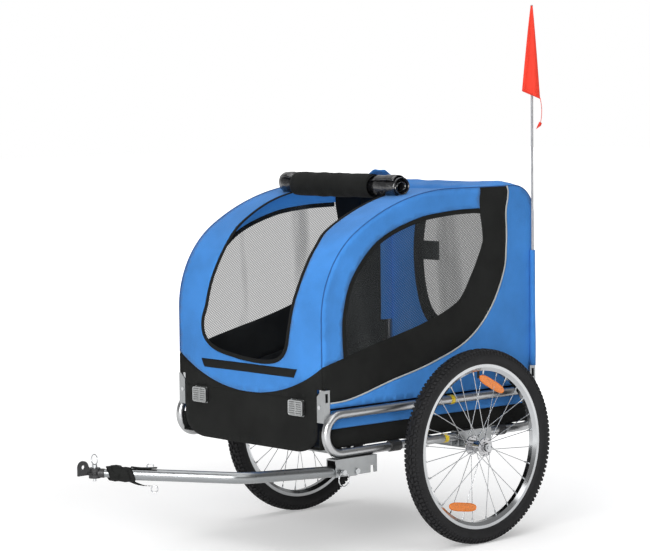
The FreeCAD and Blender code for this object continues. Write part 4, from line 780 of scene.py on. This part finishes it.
def hoop_sleeve(name, side):
    """Blue pocket sewn round the leg, flat and longer towards the front."""
    low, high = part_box(f"side_hoop_{name}")
    leg_x = (high.x if side > 0 else low.x) - side * KNUCKLE_R
    leg_y = high.y - KNUCKLE_HALF
    verts = []
    for i in range(SLEEVE_ROWS + 1):
        z = SLEEVE_LOW_Z + (SLEEVE_TOP_Z - SLEEVE_LOW_Z) * i / SLEEVE_ROWS
        for a in ring_angles(SLEEVE_SIDES):
            y = leg_y + SLEEVE_R * math.cos(a)
            if math.cos(a) < 0:
                y -= SLEEVE_LENGTH
                y += wobble(a * 0.05, y, z, 25.0, SLEEVE_SLACK)
            verts.append(Vector((leg_x + SLEEVE_R * math.sin(a), y, z)))
    faces = grid_faces(range(SLEEVE_ROWS), SLEEVE_SIDES, closed=True)
    # The sleeve takes the blue with a painted glow for daylight inside the cabin
    make_piece(f"hoop_sleeve_{name}", verts, faces, "blue_lit", f"side_{name}")


# Rear cover; half of the window's edge and the tab's place in millimetres across and up
REAR_EDGE = [(0, 862), (100, 860), (150, 838), (167, 793), (175, 715), (173, 660), (167, 612), (151, 562),
             (122, 520), (70, 488), (0, 478)]
REAR_BORDER = 38 * MM
TAB_X = (-140, -72)
TAB_Z = (691, 743)


def rear_s(z):
    """Place along the profile on its rear wall at a height."""
    return S_END - (z - COVER_Z)


def rear_window_loop(inset):
    """The rear window's outline, or a line inside it, as places across and along the cloth."""
    points = REAR_EDGE + [(-x, z) for x, z in REAR_EDGE[::-1][1:]]
    edge = spline([(x * MM, rear_s(z * MM)) for x, z in points])
    loop = resample(edge, CURVE_SPACING, closed=True)
    return loop + normals(loop, closed=True) * inset


def rear_cloth():
    """Blue cover with the black window border, its net and the small tab inside it."""
    edge = rear_window_loop(0.0)
    window = rear_window_loop(REAR_BORDER)
    notch_s = rear_s(BRACKET_TOP_Z)
    down = np.linspace(S_ROOF_END, notch_s, 60)
    outline = [(x, S_ROOF_END) for x in ACROSS] + [(HALF_X, s) for s in down[1:]]
    outline += [(NOTCH_X, notch_s), (NOTCH_X, S_END)]
    outline += [(x, S_END) for x in np.linspace(NOTCH_X, -NOTCH_X, 50)[1:]]
    outline += [(-NOTCH_X, notch_s)] + [(-HALF_X, s) for s in down[::-1][:-1]]
    cover_piece("cover_rear", outline, "blue", holes=[edge], replaces=["rear_cover"], inner="blue_lit")
    cover_piece("rear_window_border", edge, "black", holes=[window], thick=2.0 * MM)
    cover_piece("rear_net", window, "rear_net", height=NET_HEIGHT, thick=0.0, replaces=["rear_mesh"])
    low, high = ((x * MM, rear_s(z * MM)) for x, z in zip(TAB_X, TAB_Z))
    cover_piece("rear_window_tab", rectangle(low, high, 6 * MM), "black", height=-3 * MM)


# Lower tub
TUB_X = 265.6 * MM
TUB_FLOOR_Z = 281.5 * MM
TUB_SPLIT_Z = 330 * MM
TUB_SIDE_Z = 376 * MM
TUB_FRONT_Y = FRONT_Y + 1 * MM
TUB_REAR_Y = REAR_Y - 1 * MM
TUB_FOOT_S = 3 * MM
TUB_CORNER_X = 78 * MM
TUB_CORNER_Z = 52 * MM
TUB_SAG = 1.6 * MM
TUB_SAG_RUN = 20 * MM


def tub_front():
    """Black front wall with round lower corners."""
    turns = np.linspace(0, math.pi / 2, 12)
    foot = [(NOTCH_X - TUB_CORNER_X * (1 - math.sin(a)), TUB_FOOT_S + TUB_CORNER_Z * (1 - math.cos(a)))
            for a in turns]
    outline = [(-x, s) for x, s in foot[::-1]] + foot + [(NOTCH_X, S_COVER), (-NOTCH_X, S_COVER)]
    outline = resample(outline, RUN_SPACING, closed=True)
    region_piece("tub_front", outline, wrap_point, "black", "frame", replaces=["tub"])


def tub_sides(name, side):
    """Black below and blue above, with room for the hinge brackets at both ends of the blue."""
    def place(y, z, h=0.0):
        sag = wobble(side, y, z, 7.0, TUB_SAG) * min(1.0, (z - TUB_FLOOR_Z) / TUB_SAG_RUN)
        return Vector((side * (TUB_X + sag * 0.3 + h), y, z))

    low = rectangle((TUB_FRONT_Y, TUB_FLOOR_Z), (TUB_REAR_Y, TUB_SPLIT_Z), FILL_SPACING)
    region_piece(f"tub_side_low_{name}", low, place, "black", "frame")
    high = rectangle((FRONT_NOTCH_Y, TUB_SPLIT_Z), (REAR_NOTCH_Y, TUB_SIDE_Z), FILL_SPACING)
    region_piece(f"tub_side_high_{name}", high, place, "blue", "frame")


def tub_floor_and_rear():
    """The black floor, and the black rear wall below the cover."""
    def floor_point(x, y, h=0.0):
        return Vector((x, y, TUB_FLOOR_Z - h))

    def rear_point(x, z, h=0.0):
        return Vector((x, REAR_Y + h, z))

    bottom = rectangle((-TUB_X, TUB_FRONT_Y), (TUB_X, TUB_REAR_Y), 14 * MM)
    region_piece("tub_floor", bottom, floor_point, "black", "frame", spacing=40 * MM)
    rear = rectangle((-NOTCH_X, TUB_FLOOR_Z), (NOTCH_X, COVER_Z), 10 * MM)
    region_piece("tub_rear", rear, rear_point, "black", "frame")


# Tyres: half of the casing's section as millimetres across and radius, from one bead to the crown
TYRE_R = 250 * MM
TYRE_RINGS = 160
TYRE_SECTION = [(12.6, 211.6), (15.4, 213.0), (17.5, 215.6), (18.2, 216.0), (19.6, 218.0), (21.6, 222.0),
                (22.6, 226.5), (22.4, 231.0), (21.2, 235.6), (19.2, 239.6), (16.4, 242.6), (12.0, 244.6),
                (6.0, 245.6), (0.0, 245.9)]

# Tread blocks: place across, radius, outward lean, (width, length, height) and skew
KNOBS = 128
CROWN_BLOCK = (4.6 * MM, 245.6 * MM, 0.05, (7.6 * MM, 15 * MM, 4.2 * MM), 1.6 * MM)
SHOULDER_BLOCK = (14.0 * MM, 243.6 * MM, 0.42, (8.4 * MM, 7.4 * MM, 4.0 * MM), 1.0 * MM)
EDGE_BLOCK = (20.0 * MM, 238.2 * MM, 1.02, (7.0 * MM, 5.2 * MM, 1.9 * MM), 0.0)
BLOCK_ROOT = -1.2 * MM


def tread_block(verts, faces, block, way, turn):
    """Adds one tread block on one half of the tyre, turned round the axle."""
    across, radius, lean, (width, length, height), skew = block
    lean *= way
    skew *= way
    normal = Vector((math.sin(lean), 0, math.cos(lean)))
    lateral = Vector((math.cos(lean), 0, -math.sin(lean)))
    round_way = Vector((0, 1, 0))
    spin = Matrix.Rotation(turn, 3, "X")
    centre = Vector((way * across, 0, radius))
    base = len(verts)
    for level, shrink in ((BLOCK_ROOT, 1.12), (height * 0.8, 1.0), (height, 0.84)):
        for a, b in ((-1, -1), (1, -1), (1, 1), (-1, 1)):
            p = centre + normal * level + lateral * (a * width / 2 * shrink)
            p = p + round_way * ((b * length / 2 + a * skew) * shrink)
            verts.append(spin @ p)
    faces += grid_faces(range(2), 4, base, closed=True)
    faces.append(tuple(base + 8 + k for k in range(4)))


def tyres():
    """Round casings with three rows of blocks on each half; the crown's are half as many."""
    half = [(x * MM, r * MM) for x, r in TYRE_SECTION]
    section = half + [(-x, r) for x, r in half[::-1][1:]]
    verts = []
    for a in ring_angles(TYRE_RINGS):
        verts += [Vector((x, -math.sin(a) * r, math.cos(a) * r)) for x, r in section]
    casing = wrapped(grid_faces(range(TYRE_RINGS), len(section)), len(verts))
    faces = [(a, d, c, b) for a, b, c, d in casing]
    for i, turn in enumerate(ring_angles(KNOBS)):
        for way in (1, -1):
            shift = math.pi / KNOBS if way > 0 else 0.0
            if i % 2 == 0:
                tread_block(verts, faces, CROWN_BLOCK, way, turn + shift * 2)
            tread_block(verts, faces, SHOULDER_BLOCK, way, turn + shift)
            tread_block(verts, faces, EDGE_BLOCK, way, turn + shift)
    for name, _ in SIDES:
        centre = Vector((middle(f"hub_{name}").x, AXLE_Y, TYRE_R))
        obj = make_piece(f"tyre_tread_{name}", [v + centre for v in verts], faces, "rubber", f"wheel_{name}",
                         replaces=[f"tyre_{name}"], smooth=False)
        for poly in obj.data.polygons[:len(casing)]:
            poly.use_smooth = True


# Rolled door
ROLL_DROP = 5 * MM
ROLL_CLOTH = (-166 * MM, 128 * MM)
ROLL_FILM = (-216 * MM, 226 * MM)
ROLL_STEPS = 30
ROLL_COLUMNS = 48
ROLL_START = 1.2
ROLL_FLATNESS = 0.95
FLARE_GAP = 6 * MM
FLARE_RUN = 14 * MM


def roll_layer(name, turns, radii, ends, stagger, look, crush_size, flare=0.0, replaces=()):
    """A crushed spiral round the roll's axis, from inner to outer radius, flared past the cloth's ends."""
    centre = middle("door_roll")
    steps = int(turns * ROLL_STEPS)

    def point(t, u):
        a = 2 * math.pi * steps * t / ROLL_STEPS
        radius = radii[0] + (radii[1] - radii[0]) * t
        shift = stagger * math.sin(a * 0.5 + 1.0)
        x = ends[0] - shift + (ends[1] - ends[0] + 2 * shift) * u
        crush = wobble(x, a * 0.01, radius, 22.0, crush_size)
        crush += wobble(x, radius, a * 0.02, 60.0, crush_size * 0.4)
        beyond = max(ROLL_CLOTH[0] - FLARE_GAP - x, x - ROLL_CLOTH[1] - FLARE_GAP, 0.0)
        r = radius + (crush + flare * ease(beyond / FLARE_RUN)) * radius / radii[1]
        z = centre.z - ROLL_DROP + r * math.sin(a - ROLL_START) * ROLL_FLATNESS
        return Vector((x, centre.y + r * math.cos(a - ROLL_START), z))

    flatten(grid_piece(name, steps, ROLL_COLUMNS, point, look, "frame", replaces=replaces, thick=1.2 * MM))


def rolled_door():
    roll_layer("door_roll_cloth", 2.2, (27 * MM, 33 * MM), ROLL_CLOTH, 5 * MM, "black", 2.6 * MM,
               replaces=["door_roll"])
    roll_layer("door_roll_film", 3.6, (6 * MM, 22 * MM), ROLL_FILM, 7 * MM, "film", 3.0 * MM, flare=8 * MM)


# Folds on the roof
FOLD_X = (8 * MM, 188 * MM)
FOLD_Y = AXLE_Y - 99 * MM
FOLD_RISE = 60 * MM
FOLD_LEAN = 26 * MM
FOLD_BACK = 8 * MM
FLAP_Y = (AXLE_Y + 82 * MM, AXLE_Y + 236 * MM)
FLAP_HALF = HALF_X - 2 * MM
FLAP_ROOT = -1.5 * MM
FLAP_RISE = 13.5 * MM


def roof_fold():
    """Roof cloth bunched up behind the right of the roll."""
    def point(t, u):
        x = FOLD_X[0] + (FOLD_X[1] - FOLD_X[0]) * u
        root = wrap_point(x, s_at_y(FOLD_Y), -1 * MM)
        rise = FOLD_RISE * math.sin(math.pi * u) ** 0.6 * (0.9 + wobble(x, 0.4, 0.1, 30.0, 0.12))
        lean = FOLD_LEAN * math.sin(math.pi * t) * (1 - 0.4 * u)
        lean += wobble(x, t * 0.05, 0.2, 40.0, 5 * MM) * t
        return root + Vector((0, lean - FOLD_BACK * t, rise * t))

    flatten(grid_piece("roof_fold", 10, 36, point, "blue", "frame", thick=CLOTH_THICK, offset=0.0))


def roof_flap():
    """The rear flap, folded on the roof."""
    def point(t, u):
        y = FLAP_Y[0] + (FLAP_Y[1] - FLAP_Y[0]) * t
        x = FLAP_HALF * (2 * u - 1)
        border = min(1.0, 7 * t, 7 * (1 - t), 20 * u, 20 * (1 - u))
        fold = 2.2 * MM * math.sin(9.0 * t + 3.0 * u) + wobble(x, y, 0.3, 14.0, 5.0 * MM)
        return wrap_point(x, s_at_y(y), FLAP_ROOT + (FLAP_RISE + fold) * math.sqrt(border))

    flatten(grid_piece("rear_flap", 30, 56, point, "blue", "frame"))


# Front reflectors
LENS_RIBS = 7
LENS_FRAME = 0.07
LENS_LENGTH = 54 * MM
LENS_CORNER = 6 * MM
LENS_THICK = 8.5 * MM
DIVIDER_HALF = 0.035
DIVIDER_DEPTH = 0.2 * MM
RIB_DEPTH = 0.9 * MM


def lens_depth(u, v):
    """How far a point of the lens lies behind its front, across (u) and up (v) from 0 to 1."""
    if min(u, v, 1 - u, 1 - v) < LENS_FRAME:
        return 0.0
    if abs(u - 0.5) < DIVIDER_HALF:
        return DIVIDER_DEPTH
    return RIB_DEPTH * abs(math.sin(math.pi * LENS_RIBS * v)) ** 0.7


def front_lenses():
    """Two ribbed lenses with round corners and a divider."""
    low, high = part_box("front_reflectors")
    height = high.z - low.z
    rows, columns = 84, 40

    def point(v, u):
        reach = min(min(v, 1 - v) * height, LENS_CORNER)
        pull = LENS_CORNER - math.sqrt(LENS_CORNER ** 2 - (LENS_CORNER - reach) ** 2)
        x = (LENS_LENGTH / 2 - pull) * (2 * u - 1)
        return Vector((x, low.y + lens_depth(u, v), low.z + height * v))

    lens = grid_points(rows, columns, point)
    verts = []
    faces = []
    for centre_x in (high.x - LENS_LENGTH / 2, low.x + LENS_LENGTH / 2):
        faces += grid_faces(range(rows), columns + 1, base=len(verts))
        verts += [p + Vector((centre_x, 0, 0)) for p in lens]
    make_piece("front_lenses", verts, faces, "silver", "frame", replaces=["front_reflectors"], smooth=False,
               thick=LENS_THICK)


# Wheel reflectors: rings from back to front as a share of the depth and an inset
AMBER_HALF = 49 * MM
AMBER_HALF_HEIGHT = 11.5 * MM
AMBER_TILTS = (math.radians(-28), math.radians(-9))
AMBER_RINGS = ((0.0, 1.0 * MM), (0.25, 0.0), (0.75, 0.0), (1.0, 2.0 * MM), (0.86, 3.2 * MM))
AMBER_SIDES = 40


def rounded(value, power):
    """A sine or cosine bent towards a box with round ends."""
    return math.copysign(abs(value) ** power, value)


def wheel_lenses(name, side):
    """Two long amber reflectors with round ends, each tilted as it is clipped to its spokes."""
    node = NODES[f"wheel_reflectors_{name}"]
    points = [node.matrix_world @ v.co for v in node.data.vertices]
    groups = ([p for p in points if p.z > TYRE_R], [p for p in points if p.z < TYRE_R])
    low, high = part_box(f"wheel_reflectors_{name}")
    back_x, front_x = (low.x, high.x) if side > 0 else (high.x, low.x)
    verts = []
    faces = []
    for group, tilt in zip(groups, AMBER_TILTS):
        centre = sum(group, Vector()) / len(group)
        along = Vector((0, math.cos(tilt), math.sin(tilt)))
        up = Vector((0, -along.z, along.y))
        base = len(verts)
        for depth, inset in AMBER_RINGS:
            x = back_x + (front_x - back_x) * depth
            for a in ring_angles(AMBER_SIDES):
                p = centre + along * ((AMBER_HALF - inset) * rounded(math.cos(a), 0.62))
                p = p + up * ((AMBER_HALF_HEIGHT - inset) * rounded(math.sin(a), 0.8))
                verts.append(Vector((x, p.y, p.z)))
        faces += grid_faces(range(len(AMBER_RINGS) - 1), AMBER_SIDES, base, closed=True)
        faces.append(tuple(range(base, base + AMBER_SIDES))[::-1])
        faces.append(tuple(range(len(verts) - AMBER_SIDES, len(verts))))
    if side < 0:
        faces = [f[::-1] for f in faces]
    make_piece(f"wheel_lenses_{name}", verts, faces, "amber", f"wheel_{name}", smooth=False,
               replaces=[f"wheel_reflectors_{name}"])


# Flag
FLAG_TURN = math.radians(48)
FLAG_ACROSS = Vector((math.cos(FLAG_TURN), math.sin(FLAG_TURN), 0))
FLAG_OUTWARD = Vector((math.sin(FLAG_TURN), -math.cos(FLAG_TURN), 0))
FLAG_HOIST = 222 * MM
FLAG_SLOPE = 21 * MM
FLAG_LEFT = 27 * MM
FLAG_RIGHT = 21 * MM
FLAG_TOP_WIDTH = 5 * MM
FLAG_GAP = 5 * MM
FLAG_WAVE = 6 * MM
FLAG_BELLY = 3 * MM
FLAG_THICK = 0.7 * MM
TAIL_LENGTH = 66 * MM
TAIL_SWAY = 4 * MM


def flag_piece():
    """A pennant hung in soft folds, with a thin tail and a small tip at its lower corner."""
    pole = middle("flag_pole")
    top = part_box("flag_pole")[1].z - 2 * MM
    full_width = FLAG_LEFT + FLAG_RIGHT

    def point(t, u):
        width = FLAG_TOP_WIDTH + (full_width - FLAG_TOP_WIDTH) * t ** 0.9
        aside = width * (u - FLAG_LEFT / full_width)
        depth = FLAG_GAP + t * FLAG_WAVE * (0.5 + 0.5 * math.sin(u * 9.0 + 0.6 + t))
        depth += t * FLAG_BELLY * (1 - (2 * u - 1) ** 2)
        drop = FLAG_HOIST * t + FLAG_SLOPE * t * u
        return Vector((pole.x, pole.y, top - drop)) + FLAG_ACROSS * aside + FLAG_OUTWARD * depth

    obj = grid_piece("flag_pennant", 40, 24, point, "red", "flag", replaces=["flag_cloth"], thick=FLAG_THICK,
                     offset=0.0)
    root = Vector((pole.x, pole.y, top - FLAG_HOIST - FLAG_SLOPE + 3 * MM))
    root = root + FLAG_ACROSS * FLAG_RIGHT + FLAG_OUTWARD * 7 * MM
    tail = [root + FLAG_ACROSS * (TAIL_SWAY * math.sin(t * 3.0)) - Vector((0, 0, TAIL_LENGTH * t))
            for t in np.linspace(0, 1, 14)]
    tube_piece("flag_tail", tail, 0.9 * MM, "red", "flag", sides=6)
    corners = ((4, 0), (-3, 4), (-12, -16), (1, -7))
    tip = [tail[-1] + FLAG_ACROSS * aside * MM + Vector((0, 0, up * MM)) for aside, up in corners]
    make_piece("flag_tip", tip, [(0, 1, 2, 3)], "red", "flag", thick=FLAG_THICK)


POCKET_R = 8 * MM
POCKET_ROWS = 30


def flag_pocket():
    low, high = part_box("flag_pocket")
    centre = (low + high) / 2
    path = [Vector((centre.x, centre.y, z)) for z in np.linspace(low.z, high.z, POCKET_ROWS)]
    swell = [math.sin(math.pi * min(1.0, (k + 3) / 16)) for k in range(POCKET_ROWS)]
    radii = [POCKET_R * (0.86 + 0.14 * share) for share in swell]
    tube_piece("flag_sleeve", path, radii, "blue", "frame", sides=18, replaces=["flag_pocket"])


# Front strip
STRIP_S = 453 * MM - LOW_Z
STRIP_WIDTH = 23 * MM
STRIP_HALF = 187 * MM
STRIP_SLANT = 0.07


def front_strip():
    """Hook-and-loop strip under the door, its ends cut at a slant."""
    def place(x, s, h=0.0):
        below = 1 - (s - STRIP_S) / STRIP_WIDTH
        return wrap_point(x * (1 - STRIP_SLANT * below), s, h)

    path = [(x, STRIP_S) for x in np.linspace(-STRIP_HALF, STRIP_HALF, 60)]
    flatten(strip_piece("front_strip", path, STRIP_WIDTH, place, "webbing", "frame", rise=2.0 * MM,
                        slot="black_fabric"))


# Safety strap on the tow arm
ARM_TURN = math.radians(44.1)
ARM_RISE = math.radians(2.4)
ARM_WAY = Vector((-math.sin(ARM_TURN) * math.cos(ARM_RISE), -math.cos(ARM_TURN) * math.cos(ARM_RISE),
                  math.sin(ARM_RISE)))
ARM_SIDE = ARM_WAY.cross(Vector((0, 0, 1))).normalized()
ARM_UP = ARM_SIDE.cross(ARM_WAY).normalized()
ARM_END_Z = 261.457 * MM
STRAP_BACK = 78 * MM
STRAP_TURNS = 4
STRAP_STEPS = 40
STRAP_WIDTH = 26 * MM
STRAP_REACH = (-6 * MM, 40 * MM)
STRAP_SLANT = 9 * MM
STRAP_R = 14.6 * MM
STRAP_LUMPS = 4.2 * MM
STRAP_SPREAD = 1.2 * MM
STRAP_CROWN = 1.3 * MM
STRAP_SECTION = ((-0.5, 0.2), (-0.3, 0.9), (0.0, 1.6), (0.3, 0.7), (0.5, 0.1))
BAND_SECTION = (-0.5, -0.42, 0.0, 0.42, 0.5)


def strap_band(name, points, across, width):
    """A flat strap end through a few points."""
    path = spline([tuple(p) for p in points], 4 * MM)
    verts = [Vector(p) + across * (width * share) for p in path for share in BAND_SECTION]
    faces = grid_faces(range(len(path) - 1), len(BAND_SECTION))
    make_piece(name, verts, faces, "webbing", "tow_arm", thick=2.0 * MM, offset=0.0)


def strap_winding(front):
    """Webbing wound round the arm in overlapping slanted turns."""
    total = STRAP_TURNS * STRAP_STEPS
    verts = []
    for i in range(total + 1):
        share = i / total
        a = 2 * math.pi * i / STRAP_STEPS
        lump = 0.5 + 0.5 * math.sin(a * 1.37 + 0.8)
        radius = STRAP_R + STRAP_LUMPS * lump * math.sin(math.pi * share) + STRAP_SPREAD * share
        middle_at = STRAP_REACH[0] + (STRAP_REACH[1] - STRAP_REACH[0]) * share
        for w, lift in STRAP_SECTION:
            along = middle_at + w * STRAP_WIDTH + STRAP_SLANT * math.sin(a + 0.6)
            r = radius + lift * STRAP_CROWN
            verts.append(front + ARM_WAY * along + ARM_SIDE * (r * math.cos(a)) + ARM_UP * (r * math.sin(a)))
    faces = grid_faces(range(total), len(STRAP_SECTION))
    make_piece("strap_winding", verts, faces, "webbing", "tow_arm", replaces=["safety_strap"],
               thick=CLOTH_THICK)


def strap_piece():
    """The wound strap with a tail down to its ring, and a loose end with a small ring on top."""
    hitch = middle("hitch_pin")
    front = Vector((hitch.x, hitch.y, ARM_END_Z)) - ARM_WAY * STRAP_BACK
    strap_winding(front)
    root = front - ARM_WAY * 4 * MM - ARM_UP * 15 * MM
    ring_top = middle("strap_ring")
    ring_top.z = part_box("strap_ring")[1].z - 1.5 * MM
    tail = [root, root.lerp(ring_top, 0.5) - ARM_UP * 5 * MM, ring_top]
    strap_band("strap_tail", tail, ARM_SIDE.cross(ARM_UP), 16 * MM)
    top = front - ARM_WAY * 8 * MM + ARM_UP * 17 * MM
    loose = [top, top - ARM_WAY * 26 * MM - ARM_UP * 1.5 * MM, top - ARM_WAY * 62 * MM + ARM_UP * 0.5 * MM]
    strap_band("strap_loose_end", loose, ARM_SIDE, 15 * MM)
    ring_at = top - ARM_WAY * 46 * MM + ARM_UP * 4 * MM
    loop = [ring_at + ARM_WAY * (8 * MM * math.cos(a)) + ARM_UP * (6 * MM * math.sin(a))
            for a in ring_angles(28)]
    tube_piece("strap_loose_ring", loop, 1.3 * MM, "bolt", "tow_arm", closed=True)


# Floor, backdrop and lamps
FLOOR_SIZE = 60
FLOOR_FADE = (0.6, 3.6)
FLOOR_GLOW = (0.3, 1.0)
BACKDROP_WAY = (-0.74, 0.67, 0.0)
BACKDROP_FADE = (-0.2, 0.75)
BACKDROP_STRENGTH = (0.62, 1.0)
BACKDROP_ENDS = ((0.07, 1.0), (1.0, 0.85))
BACKDROP_STOPS = ((0.16, 0.62), (0.38, 0.36), (0.75, 0.5))


def studio_floor():
    """A pale floor that glows towards its far parts; only the camera and mirrored rays see the glow."""
    bpy.ops.mesh.primitive_plane_add(size=FLOOR_SIZE, location=(0, 0, 0))
    plane = bpy.context.object
    plane.name = "floor"
    mat, tree, shader, coords = new_material("pale_floor")
    set_inputs(shader, {"Base Color": (*grey(0.8), 1), "Roughness": 0.9, "Specular IOR Level": 0.0,
                        "Emission Color": (1, 1, 1, 1)})
    away = add_node(tree, "ShaderNodeVectorMath", operation="LENGTH")
    link(tree, coords, away, 0)
    spread = smooth_range(tree, away.outputs["Value"], *FLOOR_FADE, *FLOOR_GLOW)
    seen = add_node(tree, "ShaderNodeLightPath").outputs
    mirrored = math_node(tree, "MAXIMUM", seen["Is Glossy Ray"], seen["Is Transmission Ray"])
    shown = math_node(tree, "MAXIMUM", seen["Is Camera Ray"], mirrored)
    link(tree, math_node(tree, "MULTIPLY", spread, shown), shader, "Emission Strength")
    plane.data.materials.append(mat)


def backdrop():
    """A world that is white at the horizon, darker above it and dimmer behind the camera."""
    world = bpy.data.worlds.new("studio")
    world.use_nodes = True
    tree = world.node_tree
    back = tree.nodes["Background"]
    way = add_node(tree, "ShaderNodeTexCoord").outputs["Generated"]
    split = add_node(tree, "ShaderNodeSeparateXYZ")
    link(tree, way, split, "Vector")
    shade = add_node(tree, "ShaderNodeValToRGB")
    stops = shade.color_ramp.elements
    for stop, (position, level) in zip(stops, BACKDROP_ENDS):
        stop.position = position
        stop.color = (*grey(level), 1)
    for position, level in BACKDROP_STOPS:
        stops.new(position).color = (*grey(level), 1)
    link(tree, split.outputs["Z"], shade, "Fac")
    link(tree, shade.outputs["Color"], back, "Color")
    facing = add_node(tree, "ShaderNodeVectorMath", operation="DOT_PRODUCT")
    facing.inputs[1].default_value = BACKDROP_WAY
    link(tree, way, facing, 0)
    strength = smooth_range(tree, facing.outputs["Value"], *BACKDROP_FADE, *BACKDROP_STRENGTH)
    link(tree, strength, back, "Strength")
    bpy.context.scene.world = world


def lamp(name, place, target, size, power):
    """A square soft lamp that looks at its target."""
    data = bpy.data.lights.new(name, "AREA")
    data.shape = "RECTANGLE"
    data.size = size
    data.size_y = size
    data.energy = power
    obj = bpy.data.objects.new(name, data)
    bpy.context.scene.collection.objects.link(obj)
    obj.location = place
    obj.rotation_euler = (Vector(target) - Vector(place)).to_track_quat("-Z", "Y").to_euler()


def stage():
    studio_floor()
    backdrop()
    bpy.context.scene.view_settings.view_transform = "Standard"
    bpy.context.scene.view_settings.look = "None"
    lamp("key", (3.2, -0.6, 3.4), target=(0, 0.2, 0.5), size=2.4, power=38)
    lamp("front_fill", (1.35, -1.9, 1.1), target=(0.15, -0.2, 0.55), size=1.2, power=46)
    lamp("top", (0.0, 0.4, 4.0), target=(0, 0.3, 0.5), size=3.0, power=50)


# Camera, as fitted to the photograph; its place is taken from the axle
CAMERA_PLACE = Vector((4.52111, -4.26337, 1.16128))
CAMERA_RIGHT = Vector((0.66813024, 0.7439647, -0.0108865))
CAMERA_UP = Vector((-0.05129873, 0.06065655, 0.99683962))
FOCAL_PIXELS = 2353.27
IMAGE_WIDTH = 650
SENSOR_WIDTH = 36
CLIP_END = 200


def camera():
    data = bpy.data.cameras.new("camera")
    data.sensor_width = SENSOR_WIDTH
    data.lens = FOCAL_PIXELS / IMAGE_WIDTH * SENSOR_WIDTH
    data.clip_end = CLIP_END
    cam = bpy.data.objects.new("camera", data)
    bpy.context.scene.collection.objects.link(cam)
    back = CAMERA_RIGHT.cross(CAMERA_UP)
    turn = Matrix((CAMERA_RIGHT, CAMERA_UP, back)).transposed()
    cam.matrix_world = Matrix.Translation(CAMERA_PLACE + Vector((0, AXLE_Y, 0))) @ turn.to_4x4()
    bpy.context.scene.camera = cam


def on_sides(build):
    """Builds the pieces of the left side, then those of the right."""
    for name, side in SIDES:
        build(name, side)


dress_nodes()
front_cloth()
cover_seams()
on_sides(side_cloth)
on_sides(hoop_sleeve)
rear_cloth()
tub_front()
on_sides(tub_sides)
tub_floor_and_rear()
tyres()
rolled_door()
roof_fold()
roof_flap()
front_lenses()
on_sides(wheel_lenses)
flag_piece()
flag_pocket()
front_strip()
strap_piece()
stage()
camera()
